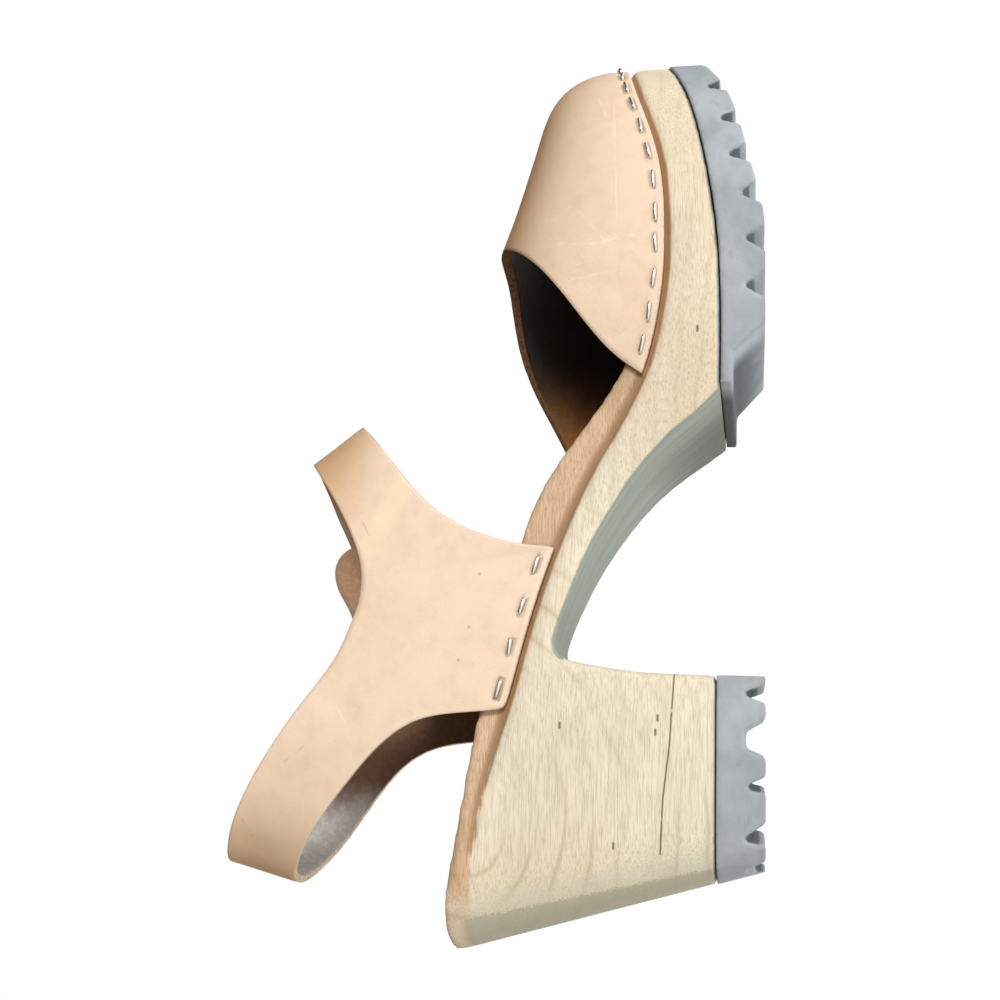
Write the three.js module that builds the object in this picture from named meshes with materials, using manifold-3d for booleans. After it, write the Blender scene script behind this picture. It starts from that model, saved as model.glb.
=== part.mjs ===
// Left shoe of a pair of wooden platform clogs with an ankle strap.
// Millimetres. +X points to the toe, +Z up, the inner (medial) side of the foot is at -Y.
// The shoe stands on its rubber treads.

import * as THREE from "three";
import Module from "manifold-3d";

const wasm = await Module();
wasm.setup();

// Driving sizes of the wooden base
const baseLength = 245;
const ballHalfWidth = 44;
const heelHeight = 82;
const platformHeight = 34;
const heelBlockLength = 74;
const heelRake = 25;
const heelTaper = 0.05;
const heelTaperEnd = 112;
const platformShare = 0.5955;
const breastStep = 0.2;
const heelRoundLength = 27;
const heelRoundness = 2.7;
const toeRoundLength = 52;
const toeRoundness = 2.15;
const toeDrift = 5;

// Rebate that the leather sits in
const rebateDepth = 2.9;
const rebateSlope = 1.3;
const rebateFadeStart = 26;
const rebateFadeEnd = 62;
const rimWidth = 2.4;

// Footbed
const heelCupDepth = 4.2;
const forefootDish = 2.6;

// Rubber treads
const treadHeight = 12;
const treadProud = 0.4;
const grooveDepth = 5.2;
const forefootTreadStart = 147;
const rearLayerHeight = 8.2;
const rearLayerEnd = 154.5;
const rearLugStart = 161.6;
const rearLugSlant = 4.5;
const treadGap = 0.3;

// Leather
const leatherWall = 2.2;
const leatherInset = 0.25;
const ledgeGap = 0.3;
const instepHeight = 77.5;
const collarHeight = 150;
const ankleHalfWidth = 29;
const layerGap = 0.35;

// Staples
const stapleWidth = 5.4;
const stapleWire = 1.1;
const stapleThickness = 0.7;
const stapleStandOff = 0.25;
const stapleAboveLedge = 3.9;
const vampStapleCount = 31;
const stapleFromThroat = 8;
const staplesPerWing = 4;
const wingStapleAboveLedge = 4.6;
const wingStapleFromCorner = 4.5;

// Press stud
const snapRadius = 5.2;
const snapSocketRadius = 3.2;
const tabSetback = 3.4;
const snapHeight = 1.5;
const snapDome = 0.8;
const snapBond = 2.4;
const snapSides = 20;

// Widths of the base before its ends are rounded, as shares of length and of half the ball width
const widthRows = [
  { along: 0.0, inner: 0.7, outer: 0.7 },
  { along: 0.12, inner: 0.7, outer: 0.72 },
  { along: 0.21, inner: 0.7, outer: 0.735 },
  { along: 0.32, inner: 0.68, outer: 0.745 },
  { along: 0.44, inner: 0.67, outer: 0.8 },
  { along: 0.57, inner: 0.77, outer: 0.94 },
  { along: 0.69, inner: 0.93, outer: 1.05 },
  { along: 0.8, inner: 0.99, outer: 1.04 },
  { along: 0.89, inner: 1.0, outer: 1.0 },
  { along: 1.0, inner: 0.98, outer: 0.92 },
];

// Side profile: ledge and rim of the rebate, as shares of length and of heel height
const profileRows = [
  { along: 0.0, ledge: 0.91, rim: 0.962 },
  { along: 0.03, ledge: 0.9, rim: 0.975 },
  { along: 0.08, ledge: 0.885, rim: 0.962 },
  { along: 0.141, ledge: 0.868, rim: 0.933 },
  { along: 0.209, ledge: 0.819, rim: 0.909 },
  { along: 0.258, ledge: 0.778, rim: 0.884 },
  { along: 0.326, ledge: 0.73, rim: 0.852 },
  { along: 0.382, ledge: 0.684, rim: 0.822 },
  { along: 0.431, ledge: 0.635, rim: 0.776 },
  { along: 0.481, ledge: 0.574, rim: 0.727 },
  { along: 0.52, ledge: 0.514, rim: 0.659 },
  { along: 0.559, ledge: 0.443, rim: 0.57 },
  { along: 0.589, ledge: 0.395, rim: 0.503 },
  { along: 0.615, ledge: 0.355, rim: 0.447 },
  { along: 0.653, ledge: 0.322, rim: 0.402 },
  { along: 0.691, ledge: 0.301, rim: 0.388 },
  { along: 0.731, ledge: 0.29, rim: 0.385 },
  { along: 0.771, ledge: 0.29, rim: 0.388 },
  { along: 0.81, ledge: 0.297, rim: 0.4 },
  { along: 0.846, ledge: 0.316, rim: 0.408 },
  { along: 0.879, ledge: 0.344, rim: 0.422 },
  { along: 0.927, ledge: 0.39, rim: 0.445 },
  { along: 1.0, ledge: 0.448, rim: 0.49 },
];

// Underside of the waist and the rise of its outer edge, as shares of the run from the heel
// breast to the platform and of heel height
const archRows = [
  { along: 0, height: 0.36, outerRise: 0 },
  { along: 0.0084, height: 0.425, outerRise: 0 },
  { along: 0.0254, height: 0.542, outerRise: 0.01 },
  { along: 0.0425, height: 0.622, outerRise: 0.035 },
  { along: 0.0646, height: 0.645, outerRise: 0.05 },
  { along: 0.1055, height: 0.651, outerRise: 0.055 },
  { along: 0.1805, height: 0.633, outerRise: 0.055 },
  { along: 0.2827, height: 0.6, outerRise: 0.052 },
  { along: 0.3849, height: 0.565, outerRise: 0.047 },
  { along: 0.4769, height: 0.527, outerRise: 0.042 },
  { along: 0.5655, height: 0.482, outerRise: 0.038 },
  { along: 0.6746, height: 0.422, outerRise: 0.033 },
  { along: 0.7598, height: 0.363, outerRise: 0.028 },
  { along: 0.8484, height: 0.289, outerRise: 0.022 },
  { along: 0.9131, height: 0.216, outerRise: 0.015 },
  { along: 1, height: 0.134, outerRise: 0 },
];

// Underside of the platform and of its tread up to the toe, shares of length and platform height
const springRows = [
  { along: 0.5965, wood: 0.33, tread: 0 },
  { along: 0.664, wood: 0.325, tread: 0 },
  { along: 0.72, wood: 0.335, tread: 0 },
  { along: 0.758, wood: 0.355, tread: 0 },
  { along: 0.79, wood: 0.385, tread: 0.035 },
  { along: 0.823, wood: 0.425, tread: 0.1 },
  { along: 0.874, wood: 0.5, tread: 0.185 },
  { along: 0.926, wood: 0.6, tread: 0.29 },
  { along: 0.963, wood: 0.7, tread: 0.41 },
  { along: 1.0, wood: 0.8, tread: 0.53 },
];

// Cross grooves of the platform tread: middle as a share of length, half width at the ground
// and half width of the flat at the root in millimetres
const forefootGrooves = [
  { middle: 0.6975, half: 3.2, root: 0.3 },
  { middle: 0.746, half: 3.2, root: 0.3 },
  { middle: 0.794, half: 2.9, root: 0.3 },
  { middle: 0.838, half: 2.6, root: 0.3 },
  { middle: 0.883, half: 2.2, root: 0.3 },
  { middle: 0.932, half: 2.2, root: 0.3 },
];

// Cross grooves of the heel tread, measured before the heel leans: middle as a share of its length
const heelGrooves = [
  { middle: 0.045, half: 2.2, root: 0.5 },
  { middle: 0.215, half: 4.0, root: 0.6 },
  { middle: 0.457, half: 2.9, root: 0.6 },
  { middle: 0.688, half: 7.2, root: 3.4 },
  { middle: 0.908, half: 3.4, root: 0.6 },
];

// Crest of the vamp, shares of length and instep height
const crestRows = [
  { along: 0.48, height: 1.16 },
  { along: 0.6, height: 1.1 },
  { along: 0.7, height: 1.03 },
  { along: 0.768, height: 0.97 },
  { along: 0.811, height: 0.92 },
  { along: 0.849, height: 0.882 },
  { along: 0.895, height: 0.84 },
  { along: 0.93, height: 0.812 },
  { along: 0.953, height: 0.785 },
  { along: 0.969, height: 0.752 },
  { along: 0.983, height: 0.705 },
  { along: 0.992, height: 0.652 },
  { along: 1.0, height: 0.59 },
];

// Throat edge: place round the section from the inner ledge, 0, over the crest to the outer ledge, 1
const throatRows = [
  { round: 0.0, along: 0.6105 },
  { round: 0.04, along: 0.633 },
  { round: 0.1, along: 0.675 },
  { round: 0.155, along: 0.711 },
  { round: 0.21, along: 0.7375 },
  { round: 0.285, along: 0.76 },
  { round: 0.38, along: 0.7745 },
  { round: 0.47, along: 0.7775 },
  { round: 0.54, along: 0.769 },
  { round: 0.6, along: 0.744 },
  { round: 0.668, along: 0.702 },
  { round: 0.733, along: 0.663 },
  { round: 0.8, along: 0.623 },
  { round: 0.87, along: 0.578 },
  { round: 0.935, along: 0.541 },
  { round: 1.0, along: 0.509 },
];

// Ankle leather from the outer strap end over the instep, round the heel to the outer tab.
// x in shares of length, y of half the ankle width, z of the collar height; low is the lower
// edge and top the upper edge. Where seated is 1 the lower edge stands in the rebate.
const ankleRows = [
  { lowX: 0.394, lowY: 1.12, lowZ: 0.72, topX: 0.392, topY: 1.12, topZ: 0.745, seated: 0 },
  { lowX: 0.404, lowY: 1.12, lowZ: 0.7, topX: 0.4, topY: 1.12, topZ: 0.778, seated: 0 },
  { lowX: 0.435, lowY: 1.12, lowZ: 0.69, topX: 0.428, topY: 1.12, topZ: 0.815, seated: 0 },
  { lowX: 0.487, lowY: 1.1, lowZ: 0.7, topX: 0.468, topY: 1.11, topZ: 0.846, seated: 0 },
  { lowX: 0.534, lowY: 0.88, lowZ: 0.724, topX: 0.505, topY: 0.9, topZ: 0.868, seated: 0 },
  { lowX: 0.567, lowY: 0.5, lowZ: 0.744, topX: 0.53, topY: 0.54, topZ: 0.872, seated: 0 },
  { lowX: 0.581, lowY: 0.0, lowZ: 0.752, topX: 0.54, topY: 0.06, topZ: 0.858, seated: 0 },
  { lowX: 0.575, lowY: -0.48, lowZ: 0.735, topX: 0.531, topY: -0.42, topZ: 0.832, seated: 0 },
  { lowX: 0.551, lowY: -0.82, lowZ: 0.694, topX: 0.51, topY: -0.76, topZ: 0.795, seated: 0 },
  { lowX: 0.521, lowY: -0.96, lowZ: 0.648, topX: 0.486, topY: -0.92, topZ: 0.762, seated: 0 },
  { lowX: 0.489, lowY: -1.01, lowZ: 0.602, topX: 0.462, topY: -0.98, topZ: 0.736, seated: 0 },
  { lowX: 0.462, lowY: -1.02, lowZ: 0.547, topX: 0.44, topY: -1.0, topZ: 0.717, seated: 0 },
  { lowX: 0.445, lowY: -1.01, lowZ: 0.484, topX: 0.42, topY: -1.0, topZ: 0.704, seated: 0 },
  { lowX: 0.435, lowY: -1.0, lowZ: 0.42, topX: 0.403, topY: -1.0, topZ: 0.698, seated: 0 },
  { lowX: 0.431, lowY: -1.0, lowZ: 0.36, topX: 0.39, topY: -1.0, topZ: 0.697, seated: 1 },
  { lowX: 0.384, lowY: -1.0, lowZ: 0.38, topX: 0.37, topY: -1.0, topZ: 0.7, seated: 1 },
  { lowX: 0.327, lowY: -1.0, lowZ: 0.4, topX: 0.349, topY: -1.0, topZ: 0.712, seated: 1 },
  { lowX: 0.264, lowY: -1.0, lowZ: 0.43, topX: 0.318, topY: -1.0, topZ: 0.732, seated: 1 },
  { lowX: 0.2585, lowY: -1.0, lowZ: 0.475, topX: 0.301, topY: -1.0, topZ: 0.748, seated: 0 },
  { lowX: 0.2545, lowY: -1.0, lowZ: 0.54, topX: 0.278, topY: -1.0, topZ: 0.775, seated: 0 },
  { lowX: 0.246, lowY: -1.0, lowZ: 0.594, topX: 0.25, topY: -0.99, topZ: 0.81, seated: 0 },
  { lowX: 0.221, lowY: -0.99, lowZ: 0.652, topX: 0.215, topY: -0.96, topZ: 0.85, seated: 0 },
  { lowX: 0.181, lowY: -0.96, lowZ: 0.708, topX: 0.174, topY: -0.88, topZ: 0.893, seated: 0 },
  { lowX: 0.139, lowY: -0.88, lowZ: 0.761, topX: 0.136, topY: -0.74, topZ: 0.927, seated: 0 },
  { lowX: 0.105, lowY: -0.7, lowZ: 0.799, topX: 0.107, topY: -0.52, topZ: 0.95, seated: 0 },
  { lowX: 0.077, lowY: -0.4, lowZ: 0.828, topX: 0.091, topY: -0.27, topZ: 0.964, seated: 0 },
  { lowX: 0.066, lowY: 0.0, lowZ: 0.838, topX: 0.086, topY: 0.0, topZ: 0.97, seated: 0 },
  { lowX: 0.075, lowY: 0.4, lowZ: 0.831, topX: 0.09, topY: 0.27, topZ: 0.966, seated: 0 },
  { lowX: 0.101, lowY: 0.72, lowZ: 0.806, topX: 0.106, topY: 0.52, topZ: 0.955, seated: 0 },
  { lowX: 0.133, lowY: 0.9, lowZ: 0.777, topX: 0.134, topY: 0.74, topZ: 0.937, seated: 0 },
  { lowX: 0.171, lowY: 0.99, lowZ: 0.737, topX: 0.172, topY: 0.89, topZ: 0.912, seated: 0 },
  { lowX: 0.201, lowY: 1.01, lowZ: 0.69, topX: 0.21, topY: 0.97, topZ: 0.879, seated: 0 },
  { lowX: 0.219, lowY: 1.03, lowZ: 0.628, topX: 0.243, topY: 1.0, topZ: 0.852, seated: 0 },
  { lowX: 0.226, lowY: 1.06, lowZ: 0.55, topX: 0.27, topY: 1.0, topZ: 0.835, seated: 0 },
  { lowX: 0.229, lowY: 1.08, lowZ: 0.48, topX: 0.29, topY: 1.0, topZ: 0.825, seated: 0 },
  { lowX: 0.233, lowY: 1.1, lowZ: 0.44, topX: 0.305, topY: 1.0, topZ: 0.819, seated: 1 },
  { lowX: 0.285, lowY: 1.1, lowZ: 0.42, topX: 0.335, topY: 1.0, topZ: 0.815, seated: 1 },
  { lowX: 0.34, lowY: 1.1, lowZ: 0.4, topX: 0.365, topY: 1.0, topZ: 0.822, seated: 1 },
  { lowX: 0.4, lowY: 1.1, lowZ: 0.37, topX: 0.388, topY: 1.0, topZ: 0.84, seated: 1 },
  { lowX: 0.405, lowY: 1.145, lowZ: 0.42, topX: 0.403, topY: 1.0, topZ: 0.856, seated: 0 },
  { lowX: 0.413, lowY: 1.12, lowZ: 0.5, topX: 0.418, topY: 1.0, topZ: 0.866, seated: 0 },
  { lowX: 0.427, lowY: 1.08, lowZ: 0.575, topX: 0.432, topY: 1.0, topZ: 0.869, seated: 0 },
  { lowX: 0.444, lowY: 1.03, lowZ: 0.65, topX: 0.446, topY: 0.99, topZ: 0.862, seated: 0 },
  { lowX: 0.459, lowY: 0.98, lowZ: 0.71, topX: 0.459, topY: 0.97, topZ: 0.842, seated: 0 },
  { lowX: 0.468, lowY: 0.95, lowZ: 0.762, topX: 0.468, topY: 0.95, topZ: 0.8, seated: 0 },
];

// Mesh density
const stationStride = 7;
const stationClearance = 0.6;
const treadStride = 10;
const footbedSteps = 8;
const undersideSteps = 3;
const vampSteps = 26;
const vampRound = 30;
const ankleSteps = 2;
const ankleLevels = 7;
const vampFullness = 0.82;

// Smooth interpolation of one column of a table by another column
function columnAt(rows, by, column, at) {
  const last = rows.length - 1;
  if (at <= rows[0][by]) return rows[0][column];
  if (at >= rows[last][by]) return rows[last][column];
  let index = 0;
  while (rows[index + 1][by] < at) index += 1;
  const slope = (a, b) => (rows[b][column] - rows[a][column]) / (rows[b][by] - rows[a][by]);
  const step = rows[index + 1][by] - rows[index][by];
  const here = slope(index, index + 1);
  const before = index > 0 ? slope(index - 1, index) : here;
  const after = index + 2 <= last ? slope(index + 1, index + 2) : here;
  const steady = (a, b) => (a * b <= 0 ? 0 : (2 * a * b) / (a + b));
  const startSlope = index > 0 ? steady(before, here) : here;
  const endSlope = index + 2 <= last ? steady(here, after) : here;
  const t = (at - rows[index][by]) / step;
  const startValue = rows[index][column] * (1 + 2 * t) * (1 - t) ** 2;
  const endValue = rows[index + 1][column] * t ** 2 * (3 - 2 * t);
  const startTurn = step * startSlope * t * (1 - t) ** 2;
  const endTurn = step * endSlope * t ** 2 * (t - 1);
  return startValue + endValue + startTurn + endTurn;
}

const clampShare = (value) => Math.min(1, Math.max(0, value));

const mix = (a, b, share) => a + (b - a) * share;

function easeShare(value) {
  const share = clampShare(value);
  return share * share * (3 - 2 * share);
}

// Side of the base at a length x, moved inwards by an inset
function sideOf(side, x, inset) {
  const along = clampShare(x / baseLength);
  const sign = side === "inner" ? -1 : 1;
  const half = ballHalfWidth * columnAt(widthRows, "along", side, along) - inset;
  const toeLength = toeRoundLength - inset;
  const toeShare = clampShare((x - (baseLength - toeRoundLength)) / toeLength);
  const heelShare = clampShare((heelRoundLength - x) / (heelRoundLength - inset));
  const toeEnd = (1 - toeShare ** toeRoundness) ** (1 / toeRoundness);
  const heelEnd = (1 - heelShare ** heelRoundness) ** (1 / heelRoundness);
  const middle = -toeDrift * toeShare ** 2;
  return middle + (sign * half - middle) * toeEnd * heelEnd;
}

const ledgeAt = (x) => heelHeight * columnAt(profileRows, "along", "ledge", x / baseLength);

const rimAt = (x) => heelHeight * columnAt(profileRows, "along", "rim", x / baseLength);

// The heel block leans and narrows towards the ground
function leanHeel(x, y, z) {
  const depth = clampShare(1 - z / heelHeight);
  const back = heelRake * depth * clampShare(1 - x / heelBlockLength);
  const taper = heelTaper * depth * easeShare((heelTaperEnd - x) / (heelTaperEnd - heelBlockLength));
  return [x + back, y * (1 - taper), z];
}

const rebateAt = (x) => rebateDepth * easeShare((x - rebateFadeStart) / (rebateFadeEnd - rebateFadeStart));

// Share of the way from the heel breast to the platform
const waistShareAt = (x) => (x - heelBlockLength) / (platformShare * baseLength - heelBlockLength);

function woodUndersideAt(x) {
  const waist = waistShareAt(x);
  if (waist < 0) return treadHeight + treadGap;
  if (waist <= 1) return heelHeight * columnAt(archRows, "along", "height", waist);
  return platformHeight * columnAt(springRows, "along", "wood", x / baseLength) + treadGap;
}

const outerRiseAt = (x) => heelHeight * columnAt(archRows, "along", "outerRise", waistShareAt(x));

// Closed solid from corner points and faces, with its faces turned outwards
function closedGeometry(points, faces) {
  const seen = new Map();
  const positions = [];
  const places = points.map((point) => {
    const key = point.map((value) => Math.round(value * 2000)).join(",");
    if (!seen.has(key)) {
      seen.set(key, positions.length / 3);
      positions.push(...point);
    }
    return seen.get(key);
  });
  const triangles = [];
  for (const face of faces) {
    for (let corner = 1; corner + 1 < face.length; corner += 1) {
      const triangle = [places[face[0]], places[face[corner]], places[face[corner + 1]]];
      if (new Set(triangle).size === 3) triangles.push(triangle);
    }
  }
  const at = (index) => new THREE.Vector3(...positions.slice(index * 3, index * 3 + 3));
  let volume = 0;
  for (const [a, b, c] of triangles) volume += at(a).dot(at(b).cross(at(c)));
  const outward = volume > 0 ? triangles : triangles.map(([a, b, c]) => [a, c, b]);
  const geometry = new THREE.BufferGeometry();
  geometry.setAttribute("position", new THREE.Float32BufferAttribute(positions, 3));
  geometry.setIndex(outward.flat());
  return geometry;
}

// Solid through closed rings with equal numbers of points, capped at both ends
function ringSolid(rings) {
  const count = rings[0].length;
  const faces = [];
  for (let ring = 0; ring + 1 < rings.length; ring += 1) {
    for (let point = 0; point < count; point += 1) {
      const next = (point + 1) % count;
      const low = ring * count;
      const high = low + count;
      faces.push([low + point, low + next, high + next, high + point]);
    }
  }
  const closeEnd = (ring, turned) => {
    const loop = rings[ring].map((_, index) => ring * count + index);
    const ys = rings[ring].map((point) => point[1]);
    if (Math.max(...ys) - Math.min(...ys) < 0.01) return;
    faces.push(turned ? loop.reverse() : loop);
  };
  closeEnd(0, true);
  closeEnd(rings.length - 1, false);
  return closedGeometry(rings.flat(), faces);
}

// Wall between two grids of points; with zip the last rows close on themselves
function wallSolid(outer, inner, zip) {
  const rows = outer.length;
  const columns = outer[0].length;
  const points = [...outer.flat(), ...inner.flat()];
  const out = (row, column) => row * columns + column;
  const ins = (row, column) => rows * columns + out(row, column);
  const faces = [];
  for (let row = 0; row + 1 < rows; row += 1) {
    for (let column = 0; column + 1 < columns; column += 1) {
      faces.push([out(row, column), out(row + 1, column), out(row + 1, column + 1), out(row, column + 1)]);
      faces.push([ins(row, column), ins(row, column + 1), ins(row + 1, column + 1), ins(row + 1, column)]);
    }
    const end = columns - 1;
    faces.push([out(row, 0), ins(row, 0), ins(row + 1, 0), out(row + 1, 0)]);
    faces.push([out(row, end), out(row + 1, end), ins(row + 1, end), ins(row, end)]);
  }
  for (let column = 0; column + 1 < columns; column += 1) {
    faces.push([out(0, column), out(0, column + 1), ins(0, column + 1), ins(0, column)]);
    const last = rows - 1;
    if (!zip) faces.push([out(last, column), ins(last, column), ins(last, column + 1), out(last, column + 1)]);
  }
  return closedGeometry(points, faces);
}

function toManifold(geometry) {
  const mesh = new wasm.Mesh({
    numProp: 3,
    vertProperties: Float32Array.from(geometry.attributes.position.array),
    triVerts: Uint32Array.from(geometry.index.array),
  });
  return new wasm.Manifold(mesh);
}

function fromManifold(solid) {
  const mesh = solid.getMesh();
  const geometry = new THREE.BufferGeometry();
  geometry.setAttribute("position", new THREE.Float32BufferAttribute(mesh.vertProperties, 3));
  geometry.setIndex(Array.from(mesh.triVerts));
  return geometry;
}

// Stations along the base: even in angle near both round ends
function baseStations() {
  const stations = new Set([0, baseLength]);
  const endSteps = 9;
  for (let step = 1; step < endSteps; step += 1) {
    const share = 1 - Math.cos((step / endSteps) * Math.PI * 0.5);
    stations.add(heelRoundLength * share);
    stations.add(baseLength - toeRoundLength * share);
  }
  for (let x = heelRoundLength; x < heelBlockLength - stationStride / 2; x += stationStride) {
    stations.add(x);
  }
  for (const row of archRows) stations.add(mix(heelBlockLength, platformShare * baseLength, row.along));
  stations.add(heelBlockLength - breastStep);
  const platformStart = springRows[0].along * baseLength;
  for (let x = platformStart; x < baseLength - toeRoundLength - stationStride / 2; x += stationStride) {
    stations.add(x);
  }
  return [...stations].sort((a, b) => a - b);
}

// Footbed height: dished between the rims, deepest in the heel cup
function footbedAt(x, across) {
  const share = x / baseLength;
  const depth = mix(heelCupDepth, forefootDish, easeShare((share - 0.15) / 0.4));
  const ends = clampShare(share / 0.08) * clampShare((1 - share) / 0.08);
  return rimAt(x) - depth * ends * (1 - Math.abs(across) ** 2.4);
}

function woodRing(x) {
  const share = x / baseLength;
  const edge = (side, inset, heightAt) => {
    const place = inset + (baseLength - 2 * inset) * share;
    return leanHeel(place, sideOf(side, place, inset), heightAt(place));
  };
  const rebate = rebateAt(x);
  const faceRise = (place) => ledgeAt(place) + Math.min(1, rebate / rebateDepth) * rebateSlope;
  const wall = (side) => [
    edge(side, 0, () => woodUndersideAt(x) + (side === "outer" ? outerRiseAt(x) : 0)),
    edge(side, 0, ledgeAt),
    edge(side, rebate, faceRise),
    edge(side, rebate, rimAt),
    edge(side, rebate + rimWidth, rimAt),
  ];
  const inner = wall("inner");
  const outer = wall("outer");
  const bedInner = inner[inner.length - 1];
  const bedOuter = outer[outer.length - 1];
  const footbed = [];
  for (let step = 1; step < footbedSteps; step += 1) {
    const across = step / footbedSteps;
    const place = bedInner[0];
    footbed.push([place, mix(bedInner[1], bedOuter[1], across), footbedAt(place, 2 * across - 1)]);
  }
  const underside = [];
  for (let step = 1; step < undersideSteps; step += 1) {
    const across = step / undersideSteps;
    underside.push(outer[0].map((value, axis) => mix(value, inner[0][axis], across)));
  }
  return [...inner, ...footbed, ...outer.reverse(), ...underside];
}

function makeWoodBase() {
  return ringSolid(baseStations().map(woodRing));
}

// Stations of a tread with the ground height at each; grooves are cut across it
function treadStations(places, grooves, grooveRun, groundAt) {
  const [start, end] = places;
  const clearOf = (x) => grooves.every((groove) => {
    return Math.abs(x - groove.middle * grooveRun) > groove.half + stationClearance;
  });
  const plain = places.filter((x) => x === start || x === end || clearOf(x));
  const kept = plain.map((x) => ({ x, height: groundAt(x) }));
  for (const { middle, half, root } of grooves) {
    const centre = middle * grooveRun;
    const floorOf = (x) => groundAt(x) + grooveDepth;
    kept.push({ x: centre - half, height: groundAt(centre - half) });
    kept.push({ x: centre - root, height: floorOf(centre) });
    kept.push({ x: centre + root, height: floorOf(centre) });
    kept.push({ x: centre + half, height: groundAt(centre + half) });
  }
  return kept.sort((a, b) => a.x - b.x);
}

function treadRing(x, groundHeight, topHeight, slant = 0) {
  const corner = (side, place, z) => leanHeel(place, sideOf(side, place, -treadProud), z);
  return [
    corner("inner", x, groundHeight),
    corner("inner", x, topHeight),
    corner("outer", x, topHeight),
    corner("outer", x + slant, groundHeight),
  ];
}

function makeForefootTread() {
  const groundAt = (x) => platformHeight * columnAt(springRows, "along", "tread", x / baseLength);
  const topAt = (x) => platformHeight * columnAt(springRows, "along", "wood", x / baseLength);
  const tip = baseLength + treadProud;
  const places = [rearLugStart + rearLugSlant + 1.5, tip];
  const toeSteps = 14;
  for (let step = 1; step < toeSteps; step += 1) {
    const share = 1 - Math.cos((step / toeSteps) * Math.PI * 0.5);
    places.push(tip - toeRoundLength * share);
  }
  for (let x = rearLugStart + 2 * treadStride; x < baseLength - toeRoundLength; x += treadStride) {
    places.push(x);
  }
  const stations = [
    { x: forefootTreadStart, height: rearLayerHeight },
    { x: rearLayerEnd, height: rearLayerHeight, slant: rearLugSlant / 2 },
    { x: rearLugStart, height: 0, slant: rearLugSlant },
    ...treadStations(places, forefootGrooves, baseLength, groundAt),
  ];
  return ringSolid(stations.map(({ x, height, slant }) => treadRing(x, height, topAt(x), slant)));
}

function makeHeelTread() {
  const front = heelBlockLength - breastStep;
  const rear = -treadProud;
  const places = [rear, front];
  const roundSteps = 10;
  for (let step = 1; step <= roundSteps; step += 1) {
    const share = 1 - Math.cos((step / roundSteps) * Math.PI * 0.5);
    places.push(rear + (heelRoundLength + treadProud) * share);
  }
  const stations = treadStations(places, heelGrooves, heelBlockLength, () => 0);
  return ringSolid(stations.map(({ x, height }) => treadRing(x, height, treadHeight)));
}

// A point of the vamp: length x, place round the section, and depth below its outer face
function vampPoint(x, round, depth) {
  const inset = leatherInset + depth;
  const angle = Math.PI * (round <= 0.5 ? round : 1 - round);
  const side = round <= 0.5 ? "inner" : "outer";
  const tip = baseLength - inset;
  const place = Math.min(x, tip);
  const floor = ledgeAt(place) + rebateSlope + ledgeGap;
  const crestShare = place / tip;
  const crest = instepHeight * columnAt(crestRows, "along", "height", crestShare) - depth;
  const middle = -toeDrift * clampShare((place - (baseLength - toeRoundLength)) / toeRoundLength) ** 2;
  const edge = sideOf(side, place, inset);
  const spread = Math.cos(angle) ** vampFullness;
  const rise = Math.sin(angle) ** vampFullness;
  return [place, mix(middle, edge, spread), mix(floor, crest, rise)];
}

function vampGrid(depth) {
  const tip = baseLength - leatherInset - depth;
  const grid = [];
  for (let row = 0; row <= vampSteps; row += 1) {
    const ahead = 1 - (1 - row / vampSteps) ** 1.9;
    const line = [];
    for (let column = 0; column <= vampRound; column += 1) {
      const round = column / vampRound;
      const throat = baseLength * columnAt(throatRows, "round", "along", round);
      line.push(vampPoint(mix(throat, tip, ahead), round, depth));
    }
    grid.push(line);
  }
  return grid;
}

function makeVamp() {
  return wallSolid(vampGrid(0), vampGrid(leatherWall), true);
}

// Middle surface of the ankle leather as rows of points from the lower to the upper edge
function ankleGrid() {
  const numbered = ankleRows.map((row, index) => ({ ...row, order: index }));
  const grid = [];
  const midInset = leatherInset + leatherWall / 2;
  for (let step = 0; step <= (ankleRows.length - 1) * ankleSteps; step += 1) {
    const order = step / ankleSteps;
    const value = (column) => columnAt(numbered, "order", column, order);
    const seated = value("seated");
    const lowX = value("lowX") * baseLength;
    const side = value("lowY") < 0 ? "inner" : "outer";
    const lowY = mix(value("lowY") * ankleHalfWidth, sideOf(side, lowX, midInset), seated);
    const seat = ledgeAt(lowX) + rebateSlope + ledgeGap;
    const lowZ = mix(value("lowZ") * collarHeight, seat, seated);
    const topX = value("topX") * baseLength;
    const topY = value("topY") * ankleHalfWidth;
    const topZ = value("topZ") * collarHeight;
    const line = [];
    for (let level = 0; level <= ankleLevels; level += 1) {
      const share = level / ankleLevels;
      line.push([mix(lowX, topX, share), mix(lowY, topY, easeShare(share)), mix(lowZ, topZ, share)]);
    }
    grid.push(line);
  }
  return grid;
}

// Grid moved along its own normals
function offsetGrid(grid, distance) {
  const at = (row, column) => new THREE.Vector3(...grid[row][column]);
  return grid.map((line, row) => line.map((_, column) => {
    const before = at(Math.max(0, row - 1), column);
    const after = at(Math.min(grid.length - 1, row + 1), column);
    const below = at(row, Math.max(0, column - 1));
    const above = at(row, Math.min(line.length - 1, column + 1));
    const normal = after.sub(before).cross(above.sub(below)).normalize();
    return at(row, column).addScaledVector(normal, distance).toArray();
  }));
}

// Middle of the press stud, where the strap's end crosses the tab
function snapPlace(grid) {
  const line = grid[2 * ankleSteps];
  return new THREE.Vector3(...line[Math.round(ankleLevels / 2)]);
}

// Domed disc with its axis along Y, its base turned to the leather
function snapDisc(radius, outwards) {
  const profile = [
    [0, 0],
    [radius, 0],
    [radius, snapHeight - snapDome],
    [radius * 0.6, snapHeight],
    [0, snapHeight],
  ];
  const disc = new THREE.LatheGeometry(profile.map(([r, h]) => new THREE.Vector2(r, h)), snapSides);
  if (outwards < 0) disc.rotateX(Math.PI);
  return disc;
}

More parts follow.
